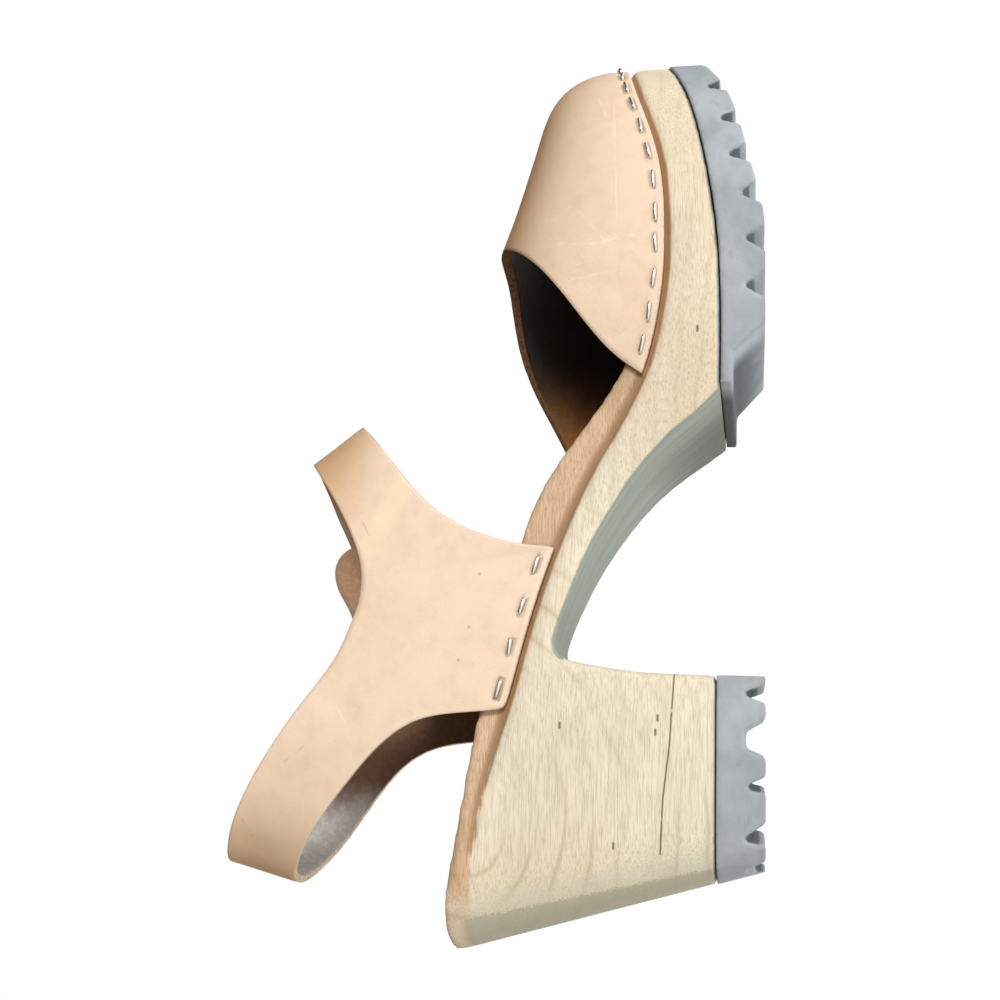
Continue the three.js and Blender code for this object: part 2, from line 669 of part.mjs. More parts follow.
function addSnap(shoe) {
  const place = snapPlace(ankleGrid());
  const clear = leatherWall / 2 + layerGap;
  const cap = piece("snap_cap", snapDisc(snapRadius, 1), steel);
  cap.position.set(place.x, place.y + clear, place.z);
  shoe.add(cap);
  const socket = piece("snap_socket", snapDisc(snapSocketRadius, -1), steel);
  socket.position.set(place.x, place.y - clear - tabSetback, place.z);
  shoe.add(socket);
}

function makeAnkleUpper() {
  const grid = ankleGrid();
  const outer = offsetGrid(grid, leatherWall / 2);
  const inner = offsetGrid(grid, -leatherWall / 2);
  const leather = toManifold(wallSolid(outer, inner, false));
  const place = snapPlace(grid);
  const bond = new THREE.CylinderGeometry(snapBond, snapBond, leatherWall + layerGap * 4, snapSides);
  bond.translate(place.x, place.y - leatherWall / 2, place.z);
  bond.deleteAttribute("normal");
  bond.deleteAttribute("uv");
  const points = [];
  for (let index = 0; index < bond.attributes.position.count; index += 1) {
    points.push([0, 1, 2].map((axis) => bond.attributes.position.array[index * 3 + axis]));
  }
  const faces = [];
  for (let index = 0; index < bond.index.count; index += 3) {
    faces.push([0, 1, 2].map((corner) => bond.index.array[index + corner]));
  }
  return fromManifold(leather.add(toManifold(closedGeometry(points, faces))));
}

function material(colour, roughness, metalness) {
  return new THREE.MeshStandardMaterial({ color: colour, roughness, metalness });
}

const wood = material(0xd8c39c, 0.6, 0);
const rubber = material(0x9699a8, 0.75, 0);
const leather = material(0xe2bd98, 0.55, 0);
const steel = material(0xc8c8ca, 0.3, 1);

function piece(name, geometry, look) {
  const mesh = new THREE.Mesh(geometry, look);
  mesh.name = name;
  return mesh;
}

// Places of the vamp staples, evenly spaced along the lower edge from throat to throat
function vampStaplePlaces() {
  const edge = [];
  const steps = 240;
  for (let step = 0; step <= 2 * steps; step += 1) {
    const side = step <= steps ? "inner" : "outer";
    const share = step <= steps ? step / steps : (2 * steps - step) / steps;
    const round = side === "inner" ? 0 : 1;
    const throat = baseLength * columnAt(throatRows, "round", "along", round);
    const tip = baseLength - leatherInset;
    const x = mix(throat, tip, Math.sin(share * Math.PI * 0.5));
    edge.push(new THREE.Vector3(x, sideOf(side, x, leatherInset), ledgeAt(x)));
  }
  const lengths = [0];
  for (let index = 1; index < edge.length; index += 1) {
    lengths.push(lengths[index - 1] + edge[index].distanceTo(edge[index - 1]));
  }
  const run = lengths[lengths.length - 1] - 2 * stapleFromThroat;
  const places = [];
  for (let staple = 0; staple < vampStapleCount; staple += 1) {
    const target = stapleFromThroat + (run * staple) / (vampStapleCount - 1);
    let index = 1;
    while (lengths[index] < target) index += 1;
    const tangent = edge[Math.min(index + 1, edge.length - 1)].clone().sub(edge[index - 1]).normalize();
    places.push({ point: edge[index].clone(), tangent });
  }
  return places;
}

// Staple crown lying along the tangent, standing off the leather
function staple(name, point, tangent) {
  const outward = new THREE.Vector3(tangent.y, -tangent.x, 0).normalize();
  const upward = new THREE.Vector3().crossVectors(outward, tangent).normalize();
  const mesh = piece(name, new THREE.BoxGeometry(stapleWidth, stapleThickness, stapleWire), steel);
  const frame = new THREE.Matrix4().makeBasis(tangent, outward.clone().negate(), upward);
  const standOff = stapleStandOff + stapleThickness / 2;
  mesh.quaternion.setFromRotationMatrix(frame);
  mesh.position.copy(point).addScaledVector(outward, standOff);
  return mesh;
}

function addVampStaples(shoe) {
  vampStaplePlaces().forEach(({ point, tangent }, index) => {
    point.z += stapleAboveLedge;
    shoe.add(staple(`staple_vamp_${String(index + 1).padStart(2, "0")}`, point, tangent));
  });
}

// Ends of a wing's seat in the rebate
function wingSeat(side) {
  const seated = ankleRows.filter((row) => row.seated === 1 && (side === "inner") === (row.lowY < 0));
  const places = seated.map((row) => row.lowX * baseLength);
  return { rear: Math.min(...places), front: Math.max(...places) };
}

function addWingStaples(shoe, side) {
  const { rear, front } = wingSeat(side);
  const first = rear + wingStapleFromCorner;
  const run = front - rear - 2 * wingStapleFromCorner;
  const turn = side === "inner" ? 1 : -1;
  const edge = (x) => new THREE.Vector3(x, sideOf(side, x, leatherInset), ledgeAt(x) + wingStapleAboveLedge);
  for (let index = 0; index < staplesPerWing; index += 1) {
    const x = first + (run * index) / (staplesPerWing - 1);
    const tangent = edge(x + turn).sub(edge(x - turn)).normalize();
    shoe.add(staple(`staple_wing_${side}_${index + 1}`, edge(x), tangent));
  }
}

const shoe = new THREE.Group();
shoe.add(piece("wood_base", makeWoodBase(), wood));
shoe.add(piece("forefoot_tread", makeForefootTread(), rubber));
shoe.add(piece("heel_tread", makeHeelTread(), rubber));
shoe.add(piece("vamp", makeVamp(), leather));
shoe.add(piece("ankle_upper", makeAnkleUpper(), leather));
addVampStaples(shoe);
addWingStaples(shoe, "inner");
addWingStaples(shoe, "outer");
addSnap(shoe);

// Origin on the ground, under the middle of the shoe
const extent = new THREE.Box3().setFromObject(shoe);
const centre = extent.getCenter(new THREE.Vector3());
shoe.position.set(-centre.x, -centre.y, -extent.min.z);

export default shoe;
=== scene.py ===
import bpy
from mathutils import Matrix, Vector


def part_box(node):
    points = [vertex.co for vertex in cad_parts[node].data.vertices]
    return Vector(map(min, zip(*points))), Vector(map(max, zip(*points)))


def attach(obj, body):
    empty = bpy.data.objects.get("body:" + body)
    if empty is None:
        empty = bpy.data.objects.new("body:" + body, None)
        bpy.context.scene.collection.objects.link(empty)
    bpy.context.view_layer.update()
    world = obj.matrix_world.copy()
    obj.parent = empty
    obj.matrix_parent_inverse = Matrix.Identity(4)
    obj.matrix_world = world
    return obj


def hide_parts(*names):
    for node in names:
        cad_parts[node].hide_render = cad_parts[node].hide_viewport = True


bl_info = {
    "name": "Wooden platform clog",
    "version": (1, 0, 0),
    "blender": (4, 5, 0),
    "location": "View3D > Sidebar > Clog",
    "description": "Wooden sole, rubber treads, stapled leather and press stud of a left platform clog",
    "category": "Add Mesh",
}

import math

import bmesh
import bpy
from bpy.props import FloatProperty, FloatVectorProperty, IntProperty, PointerProperty
from mathutils import Matrix, Vector
from mathutils.bvhtree import BVHTree

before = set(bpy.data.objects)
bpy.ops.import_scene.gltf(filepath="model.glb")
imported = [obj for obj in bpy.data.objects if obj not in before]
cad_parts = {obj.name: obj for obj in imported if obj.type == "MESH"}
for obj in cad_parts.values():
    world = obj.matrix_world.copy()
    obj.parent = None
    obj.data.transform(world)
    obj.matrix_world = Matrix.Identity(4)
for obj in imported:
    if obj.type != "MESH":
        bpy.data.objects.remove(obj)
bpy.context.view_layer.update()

MM = 0.001
VAMP_STAPLES = sorted(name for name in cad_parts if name.startswith("staple_vamp"))
WING_STAPLES = sorted(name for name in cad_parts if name.startswith("staple_wing"))


def colour_property(name, description, default):
    return FloatVectorProperty(
        name=name, description=description, subtype="COLOR", size=3, min=0, max=1, default=default
    )


def length_property(name, description, default):
    return FloatProperty(
        name=name, description=description, default=default, min=0, unit="LENGTH", precision=5
    )


class WoodSettings(bpy.types.PropertyGroup):
    pale: colour_property("Pale wood", "Colour between the pores", (0.85, 0.77, 0.6))
    ring: colour_property("Growth ring", "Colour of the late wood in a ring", (0.5, 0.35, 0.2))
    # The rebate colour is painted shade on the milled step under the leather, which turns from the light
    rebate: colour_property("Rebate", "Warm colour of the milled step under the leather", (0.36, 0.17, 0.06))
    voxel: length_property("Fineness", "Size of the faces on the worn edges", 1 * MM)
    softness: IntProperty(
        name="Edge softness", description="How far the sanding rounds the edges", default=6, min=0
    )


class RubberSettings(bpy.types.PropertyGroup):
    body: colour_property("Rubber", "Grey of the moulded rubber", (0.31, 0.34, 0.36))
    dusty: colour_property("Dusty rubber", "Paler bloom on its surface", (0.43, 0.465, 0.485))
    # Grooves up to this width get painted shade, darker the deeper a place lies
    groove: length_property("Groove width", "Widest groove that gathers dirt", 9 * MM)
    voxel: length_property("Fineness", "Size of the faces on the moulded edges", 0.7 * MM)
    softness: IntProperty(name="Edge softness", description="How round the lugs are", default=2, min=0)


class LeatherSettings(bpy.types.PropertyGroup):
    grain: colour_property("Grain side", "Natural tanned leather", (0.84, 0.66, 0.5))
    grain_deep: colour_property("Deep tan", "Darker patches of the grain side", (0.76, 0.55, 0.37))
    # The top and crest colours are painted shade where the leather turns from the light
    grain_top_shade: colour_property("Top tan", "Deep tan where the leather turns to the light", (0.64, 0.37, 0.17))
    crest: colour_property("Crest tan", "Deepest tan, over the crest of the vamp", (0.5, 0.26, 0.105))
    cut_edge: colour_property("Cut edge", "Raw edge of the leather", (0.82, 0.66, 0.5))
    # The flesh colour is the nap in painted shade
    flesh: colour_property("Flesh side", "Nap of the unlined inside", (0.1, 0.05, 0.025))
    staple_dimple: length_property("Staple dimple", "How deep a staple draws the leather in", 0.45 * MM)
    levels: IntProperty(
        name="Smoothness", description="Subdivisions of the leather", default=2, min=1, max=3
    )


class MetalSettings(bpy.types.PropertyGroup):
    steel: colour_property("Steel", "Colour of staples and press stud", (0.8, 0.78, 0.74))
    wire: length_property("Staple wire", "Thickness of the staple wire", 1.05 * MM)
    leg: length_property("Staple leg", "Length of a leg that shows or sits in the leather", 1.5 * MM)


class StageSettings(bpy.types.PropertyGroup):
    floor: colour_property("Floor", "Pale floor", (0.84, 0.84, 0.84))
    room: colour_property("Room", "Warm soft light from all sides", (1.0, 0.82, 0.64))
    room_power: FloatProperty(
        name="Room light", description="Strength of the soft light", default=0.14, min=0
    )
    floor_glow: FloatProperty(
        name="Floor glow", description="How much the floor shines by itself", default=0.9, min=0
    )
    key_power: FloatProperty(
        name="Key light", description="Power of the large soft light", default=7.9, min=0, unit="POWER"
    )
    key_size: length_property("Key light width", "Width of the large soft light", 0.26)
    lens: FloatProperty(name="Lens", description="Focal length", default=49.3, min=1, unit="CAMERA")


class Wire:
    """One output of a node. Python's operators on it add the Math nodes."""

    def __init__(self, finish, socket):
        self.finish = finish
        self.socket = socket

    def _math(self, operation, *values, clamp=False):
        settings = {"operation": operation, "use_clamp": clamp}
        return self.finish.node("ShaderNodeMath", settings, dict(enumerate(values)))

    def __add__(self, other):
        return self._math("ADD", self, other)

    def __sub__(self, other):
        return self._math("SUBTRACT", self, other)

    def __rsub__(self, other):
        return self._math("SUBTRACT", other, self)

    def __mul__(self, other):
        return self._math("MULTIPLY", self, other)

    def __truediv__(self, other):
        return self._math("DIVIDE", self, other)

    def __pow__(self, other):
        return self._math("POWER", self, other)

    __radd__ = __add__
    __rmul__ = __mul__

    def clamped(self):
        """The value kept between 0 and 1."""
        return self._math("ADD", self, 0, clamp=True)

    def root(self):
        return self._math("SQRT", self)

    def swing(self):
        """The sine, moved to run between 0 and 1."""
        return self._math("SINE", self) * 0.5 + 0.5

    def step(self, low, high):
        """0 below low, 1 above high and a smooth rise between."""
        ends = {0: self, 1: low, 2: high, 3: 0, 4: 1}
        return self.finish.node("ShaderNodeMapRange", {"interpolation_type": "SMOOTHSTEP"}, ends)

    def largest(self, other):
        return self._math("MAXIMUM", self, other)


class Finish:
    """A material of this shoe, built node by node."""

    def __init__(self, name):
        self.material = bpy.data.materials.new(name)
        self.material.use_nodes = True
        self.tree = self.material.node_tree
        self.shader = self.tree.nodes["Principled BSDF"]
        self.place = self.node("ShaderNodeTexCoord", {}, {}, "Object")

    def node(self, kind, settings, values, output=0):
        """Add a node: its settings first, then the values or links of its sockets."""
        added = self.tree.nodes.new(kind)
        for key, value in settings.items():
            setattr(added, key, value)
        for key, value in values.items():
            self.plug(added.inputs[key], value)
        return Wire(self, added.outputs[output])

    def plug(self, socket, value):
        if isinstance(value, Wire):
            self.tree.links.new(value.socket, socket)
        else:
            socket.default_value = value

    def set(self, **values):
        """Values or links for the shader's sockets, with _ for a space in their names."""
        for key, value in values.items():
            self.plug(self.shader.inputs[key.replace("_", " ")], value)

    def stored(self, name):
        """A number stored at each place of the mesh."""
        return self.node("ShaderNodeAttribute", {"attribute_name": name}, {}, "Fac")

    def axis(self, letter, place=None):
        return self.node("ShaderNodeSeparateXYZ", {}, {0: place or self.place}, letter)

    def stretched(self, scale, place=None):
        """The place stretched by a factor along each axis."""
        return self.node("ShaderNodeMapping", {}, {"Vector": place or self.place, "Scale": scale})

    def noise(self, scale, detail=3, roughness=0.5, place=None):
        values = {"Vector": place or self.place, "Scale": scale, "Detail": detail, "Roughness": roughness}
        return self.node("ShaderNodeTexNoise", {}, values)

    def cells(self, scale, feature="F1", place=None):
        """How far each place is from the heart, or from the edge, of its cell."""
        values = {"Vector": place or self.place, "Scale": scale}
        return self.node("ShaderNodeTexVoronoi", {"feature": feature}, values, "Distance")

    def mix(self, factor, first, second, blend="MIX"):
        """Mix two colours; a plain colour is three numbers."""
        ends = [shade if isinstance(shade, Wire) else (*shade, 1) for shade in (first, second)]
        settings = {"data_type": "RGBA", "blend_type": blend}
        return self.node("ShaderNodeMix", settings, {0: factor, 6: ends[0], 7: ends[1]}, 2)

    def vector(self, operation, first, second=None):
        """A Vector Math node on two places, or on a place and a number where it is scaled."""
        values = {0: first}
        if second is not None:
            values["Scale" if operation == "SCALE" else 1] = second
        gives_number = operation in ("DOT_PRODUCT", "DISTANCE", "LENGTH")
        return self.node("ShaderNodeVectorMath", {"operation": operation}, values, int(gives_number))

    def bump(self, height, distance, strength):
        values = {"Height": height, "Distance": distance, "Strength": strength}
        return self.node("ShaderNodeBump", {}, values)

    def swirl(self, amount, scale):
        """The place pushed about by a soft noise, in metres."""
        values = {"Vector": self.place, "Scale": scale, "Detail": 2}
        drift = self.node("ShaderNodeTexNoise", {}, values, 1)
        centred = self.vector("SUBTRACT", drift, (0.5, 0.5, 0.5))
        return self.vector("ADD", self.place, self.vector("SCALE", centred, amount))

    def inner_side(self, place=None):
        """The place as seen from the side, and 1 on the shoe's inner side alone."""
        return self.stretched((1, 0, 1), place), 1 - self.axis("Y").step(-20 * MM, -15 * MM)

    def near_line(self, start, end, width, place):
        """1 on the line between two points of the shoe, falling to 0 at width from it."""
        run = Vector(end) - Vector(start)
        offset = self.vector("SUBTRACT", place, start)
        reach = self.vector("DOT_PRODUCT", offset, tuple(run))
        share = (reach / run.length_squared).clamped()
        left = self.vector("SUBTRACT", offset, self.vector("SCALE", tuple(run), share))
        return 1 - self.vector("LENGTH", left).step(width * 0.25, width)

    def near_point(self, point, radius, place):
        """1 at a point of the shoe, falling to 0 at radius from it."""
        return 1 - self.vector("DISTANCE", place, point).step(0, radius)


def side_place(along, up):
    """A place on the shoe as seen from the side, given in millimetres."""
    return along * MM, 0, up * MM


def dimmed(colour, share):
    """The colour with a share of its light."""
    return tuple(share * value for value in colour)


def copied_node(node):
    """A CAD node's mesh as a bmesh, its loose triangles merged and paired."""
    form = bmesh.new()
    form.from_mesh(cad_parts[node].data)
    bmesh.ops.remove_doubles(form, verts=form.verts, dist=0.004 * MM)
    bmesh.ops.join_triangles(
        form, faces=form.faces, angle_face_threshold=math.radians(20), angle_shape_threshold=math.radians(50)
    )
    return form


def crease_edges(form, angle, sharpness):
    """Keep the edges that turn by more than angle when the form is subdivided."""
    layer = form.edges.layers.float.get("crease_edge") or form.edges.layers.float.new("crease_edge")
    for edge in form.edges:
        if edge.calc_face_angle(0) > angle:
            edge[layer] = sharpness


def new_piece(name, form):
    """An object at the origin with the bmesh as its smooth mesh."""
    for face in form.faces:
        face.smooth = True
    mesh = bpy.data.meshes.new(name)
    form.to_mesh(mesh)
    form.free()
    piece = bpy.data.objects.new(name, mesh)
    bpy.context.scene.collection.objects.link(piece)
    return piece


def settle(piece):
    """Apply the piece's modifiers to its mesh."""
    graph = bpy.context.evaluated_depsgraph_get()
    done = bpy.data.meshes.new_from_object(piece.evaluated_get(graph), depsgraph=graph)
    piece.modifiers.clear()
    old = piece.data
    piece.data = done
    bpy.data.meshes.remove(old)
    for face in done.polygons:
        face.use_smooth = True


def subdivide(piece, levels):
    """Smooth the piece's curves between its sharp edges."""
    modifier = piece.modifiers.new("Rounding", "SUBSURF")
    modifier.levels = levels
    modifier.render_levels = levels
    modifier.use_limit_surface = True
    settle(piece)


def join_shoe(piece, node):
    """Fix the piece to the shoe's one body in place of its CAD node."""
    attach(piece, "root")
    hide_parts(node)


# Two edges of a bar whose product is below this, in square metres, are square to each other
SQUARE = 1e-8


def bar_frame(node):
    """Middle of a staple's plain bar, its directions along, across and outward, and its length."""
    form = bmesh.new()
    form.from_mesh(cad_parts[node].data)
    bmesh.ops.remove_doubles(form, verts=form.verts, dist=0.01 * MM)
    corners = [vertex.co.copy() for vertex in form.verts]
    form.free()
    middle = sum(corners, Vector()) / len(corners)
    first = corners[0]
    short, width, *rest = sorted((corner - first for corner in corners[1:]), key=lambda run: run.length)
    long = next(run for run in rest if abs(run.dot(short)) < SQUARE and abs(run.dot(width)) < SQUARE)
    outward = short.normalized()
    inside_shoe = Vector((20 * MM, 0, middle.z))
    if outward.dot(middle - inside_shoe) < 0:
        outward.negate()
    return middle, long.normalized(), width.normalized(), outward, long.length


# Material slots of the leather pieces
GRAIN_SIDE, CUT_EDGE, FLESH_SIDE, LOWER_EDGE = range(4)


def tell_sides_apart(form, angle):
    """Split the leather's faces at its sharp edges into grain side, cut edge and flesh side."""
    regions = []
    waiting = set(form.faces)
    while waiting:
        region = [waiting.pop()]
        for face in region:
            for edge in face.edges:
                if edge.calc_face_angle(0) > angle:
                    continue
                for other in edge.link_faces:
                    if other in waiting:
                        waiting.discard(other)
                        region.append(other)
        regions.append(region)
    regions.sort(key=lambda region: -sum(face.calc_area() for face in region))
    middle = sum((face.calc_center_median() for face in regions[0]), Vector()) / len(regions[0])

    def turned_out(region):
        """How much of the region looks away from the middle of the leather."""
        looks = [(face.calc_center_median() - middle).normalized().dot(face.normal) for face in region]
        return sum(face.calc_area() * look for face, look in zip(region, looks))

    flesh, grain = sorted(regions[:2], key=turned_out)
    cut = [face for region in regions[2:] for face in region]
    for kind, faces in ((GRAIN_SIDE, grain), (CUT_EDGE, cut), (FLESH_SIDE, flesh)):
        for face in faces:
            face.material_index = kind


# Dark check of the heel and small knots, all on the inner side: millimetres along and up the shoe
CHECK = ((-49.5, 22.5), (-67, 23.5), (-80.5, 25), (-93.5, 25.5))
KNOTS = ((-64, 27), (-60.5, 26.5), (-63, 51), (-92, 37), (37, 17))

# Growth rings of the heel: their heart along and up the shoe, how far they are pressed together along
# it, where the first one starts, and the widths of a ring and of a fine ring
HEART_ALONG = -88 * MM
HEART_UP = 76.1 * MM
RING_PRESS = 0.82
RING_START = 20.5
RING_WIDTH = 7.5 * MM
FINE_RING_WIDTH = 1.9 * MM

# Level rings away from the heel: how fast they follow each other up and along the shoe
LEVEL_RINGS_UP = 1150
LEVEL_RINGS_ALONG = 70


def growth_rings(wood, drift):
    """Rings and fine rings round the heart of the heel; away from it the rings run level."""
    up = wood.axis("Z", drift)
    along = wood.axis("X", drift)
    rise = up - HEART_UP
    reach = (along - HEART_ALONG) * RING_PRESS
    radius = (rise * rise + reach * reach).root()
    away = radius.step(55 * MM, 85 * MM)
    arcs = (radius * (2 * math.pi / RING_WIDTH) - RING_START).swing()
    fine_arcs = (radius * (2 * math.pi / FINE_RING_WIDTH)).swing()
    level = (up * LEVEL_RINGS_UP + along * LEVEL_RINGS_ALONG).swing()
    rings = (arcs ** 18) * (1 - away) + (level ** 7) * away * 0.45
    rings = rings * (0.15 + wood.noise(46, 2).step(0.38, 0.62) * 0.85)
    return rings, (fine_arcs ** 3) * (1 - away)


def check_and_knots(wood):
    """1 along the dark check and on the knots of the inner side."""
    side_view, inner_side = wood.inner_side()
    strokes = [(start, end, 0.3 * MM) for start, end in zip(CHECK, CHECK[1:])]
    strokes += [((along - 0.6, up), (along + 0.6, up), 0.42 * MM) for along, up in KNOTS]
    check = 0
    for start, end, width in strokes:
        check = wood.near_line(side_place(*start), side_place(*end), width, side_view).largest(check)
    return check * inner_side * wood.noise(420, 2).step(0.25, 0.42)


def sawn_facet(wood, saw, foot, lean, fray, softness):
    """1 behind a line that leans back from its foot on the heel's side; the saw's marks fray it."""
    height = wood.axis("Z")
    line = wood.axis("X") + height * lean - foot + (saw - 0.5) * fray
    below_step = 1 - height.step(73.5 * MM, 76.5 * MM)
    return (1 - line.step(-softness, softness)) * below_step


def paint_step_shade(wood, colour, look, bands, fibres):
    """Painted shade on the milled step, in a groove of that colour over it and in a warm band above it."""
    from_step = wood.stored("from_step")
    above_step = wood.stored("above_step")
    # Painted shade on the wood just above the step, darker along its fibres
    band = above_step.step(0.3 * MM, 1.2 * MM) * from_step.step(0.2 * MM, 0.6 * MM)
    band = band * wood.axis("Z").step(20 * MM, 26 * MM) * (1 - from_step.step(9 * MM, 17 * MM) * 0.8)
    warm = wood.mix(bands.step(0.35, 0.7), (0.72, 0.47, 0.28), (0.56, 0.33, 0.18))
    colour = wood.mix(band * 0.75, colour, warm)
    colour = wood.mix(band * fibres.step(0.4, 0.7) * 0.55, colour, (0.4, 0.22, 0.11))
    # Painted shade in the groove over the step and on the step itself
    groove = (1 - from_step.step(0.4 * MM, 2.6 * MM)) * above_step.step(0.1 * MM, 0.4 * MM)
    colour = wood.mix(groove * 0.8, colour, look.rebate)
    on_step = 1 - from_step.step(0.1 * MM, 0.6 * MM)
    return wood.mix(on_step * (0.75 + bands * 0.25), colour, look.rebate)


def paint_underside_shade(wood, colour):
    """Painted shade on the underside of the waist in streaky grey-green, with a painted shadow darkest in the
    corner beside the rubber.
    """
    along = wood.axis("X")
    under = (1 - wood.stored("from_underside").step(0.2 * MM, 0.8 * MM)) * (along + 52 * MM).step(0, 1 * MM)
    streaks = wood.noise(1, 3, 0.6, wood.stretched((12, 240, 40))).step(0.35, 0.7)
    # Painted shadow in the corner beside the rubber
    corner = along.step(0, 22 * MM) * wood.axis("Y").step(-34 * MM, 4 * MM)
    colour = wood.mix(under * 0.9, colour, wood.mix(streaks, (0.22, 0.275, 0.25), (0.3, 0.35, 0.32)))
    return wood.mix(under * corner * 0.7, colour, (0.05, 0.05, 0.04))


def wood_finish(look):
    """Sanded pale hardwood: fibres and pores along the shoe, arched rings in the heel, and painted shade on
    the heel's rear facets, the milled step and the underside.
    """
    wood = Finish("Sanded pale hardwood")
    drift = wood.swirl(11 * MM, 24)
    fibres = wood.noise(1, 4, 0.65, wood.stretched((130, 3400, 3400)))
    pores = wood.noise(1, 3, 0.6, wood.stretched((330, 6200, 6200))).step(0.58, 0.72)
    bands = wood.noise(1, 3, 0.55, wood.stretched((11, 150, 150), drift))
    clouds = wood.noise(16, 2)
    saw = wood.noise(1, 3, 0.7, wood.stretched((70, 2200, 2200)))
    rings, fine_rings = growth_rings(wood, drift)
    check = check_and_knots(wood)
    # Painted shade on the heel's rear facets, which turn from the light: a little on the first, more on the
    # rearmost, both frayed by the saw's marks
    facet_half_shade = sawn_facet(wood, saw, -89.5 * MM, 0.2222, 2.4 * MM, 0.3 * MM)
    facet_shade = sawn_facet(wood, saw, -93.5 * MM, 0.2467, 5 * MM, 0.4 * MM)
    colour = wood.mix(bands.step(0.3, 0.75) * 0.5, look.pale, dimmed(look.pale, 0.78))
    colour = wood.mix(clouds.step(0.42, 0.72) * 0.35, colour, (0.74, 0.58, 0.38))
    colour = wood.mix(fine_rings * bands * 0.16, colour, (0.55, 0.42, 0.26))
    colour = wood.mix(rings * 0.52, colour, look.ring)
    colour = wood.mix(fibres.step(0.42, 0.7) * 0.62, colour, (0.5, 0.4, 0.25))
    colour = wood.mix(pores * 0.16, colour, (0.42, 0.3, 0.17))
    colour = wood.mix(check * 0.8, colour, (0.13, 0.07, 0.035))
    colour = wood.mix(facet_half_shade * (0.15 + saw * 0.3), colour, (0.66, 0.63, 0.52))
    colour = wood.mix(facet_shade * (0.3 + saw * 0.6), colour, (0.38, 0.36, 0.26))
    colour = paint_step_shade(wood, colour, look, bands, fibres)
    colour = paint_underside_shade(wood, colour)
    rough = 0.56 + fibres * 0.16 - rings * 0.08 + facet_shade * 0.1
    relief = fibres * 0.4 - pores * 0.5 - check * 2.5 - rings * 0.2
    wood.set(Base_Color=colour, Roughness=rough, Normal=wood.bump(relief, 0.09 * MM, 0.9))
    wood.set(Specular_IOR_Level=0.35)
    return wood.material


def rubber_finish(look):
    """Moulded rubber with a dusty bloom, fine pits and a few scuffs, with painted shade in its grooves and
    over the rear end of the front tread.
    """
    rubber = Finish("Blue-grey moulded rubber")
    bloom = rubber.noise(70, 4, 0.6)
    specks = rubber.noise(1500, 3, 0.7)
    scuffs = rubber.noise(1, 3, 0.6, rubber.stretched((160, 900, 420))).step(0.6, 0.78)
    colour = rubber.mix(bloom.step(0.3, 0.7), look.body, look.dusty)
    colour = rubber.mix(specks.step(0.55, 0.8) * 0.35, colour, (0.46, 0.48, 0.53))
    colour = rubber.mix(scuffs * 0.25, colour, (0.2, 0.2, 0.22))
    # Painted shade in the grooves
    colour = rubber.mix(rubber.stored("groove_shade") * 0.75, colour, (0.07, 0.075, 0.09))
    # Painted shade over the rear end of the front tread, which turns from the light
    along = rubber.axis("X") + (bloom - 0.5) * (4 * MM)
    rear_end_shade = (1 - along.step(33 * MM, 45 * MM)) * along.step(0, 10 * MM)
    rear_end_shade = rear_end_shade * rubber.axis("Y").step(-36 * MM, -16 * MM)
    colour = rubber.mix(rear_end_shade * 0.85, colour, (0.03, 0.037, 0.042))
    ground = 1 - rubber.axis("Z").step(0.3 * MM, 2.2 * MM)
    colour = rubber.mix(ground * bloom * 0.6, colour, (0.2, 0.19, 0.18))
    relief = specks * 0.7 + bloom * 0.6 - scuffs * 0.5
    rubber.set(Base_Color=colour, Roughness=0.62 + bloom * 0.2, Normal=rubber.bump(relief, 0.12 * MM, 0.8))
    rubber.set(Specular_IOR_Level=0.4)
    return rubber.material


# Fine scratches that show on the inner side's grain: start and end in millimetres along and up the
# shoe, width in millimetres, and how pale they are, or how dark where that is negative
VAMP_MARKS = (
    ((100.5, 39.5), (81, 38), 0.7, 0.5),
    ((81, 38), (64.5, 37.5), 0.6, 0.45),
    ((61.5, 53), (60.5, 43.5), 0.9, 0.4),
    ((60.5, 43.5), (61.5, 33), 0.8, 0.5),
    ((51.5, 49.5), (53, 36), 0.8, 0.4),
    ((103, 44), (95, 41), 0.7, 0.35),
    ((69.5, 48), (60.5, 40), 0.7, 0.35),
    ((68, 55.5), (71, 50), 0.7, 0.3),
)
ANKLE_MARKS = (
    ((-57.5, 111.5), (-64.5, 106.5), 0.6, 0.3),
    ((-11, 105), (-15, 103), 0.5, -0.35),
    ((-74.5, 123), (-70, 118), 0.6, -0.25),
    ((-90, 136), (-94.5, 133.5), 0.6, -0.3),
)
ANKLE_SPECKS = ((-25, 73), (-39, 75.5), (-47.5, 77.5))
# A painted highlight across the instep strap: start, end and width in millimetres
ANKLE_SHEEN_STRIPE = ((-1, 94), (-17.5, 102.5), 4.5)


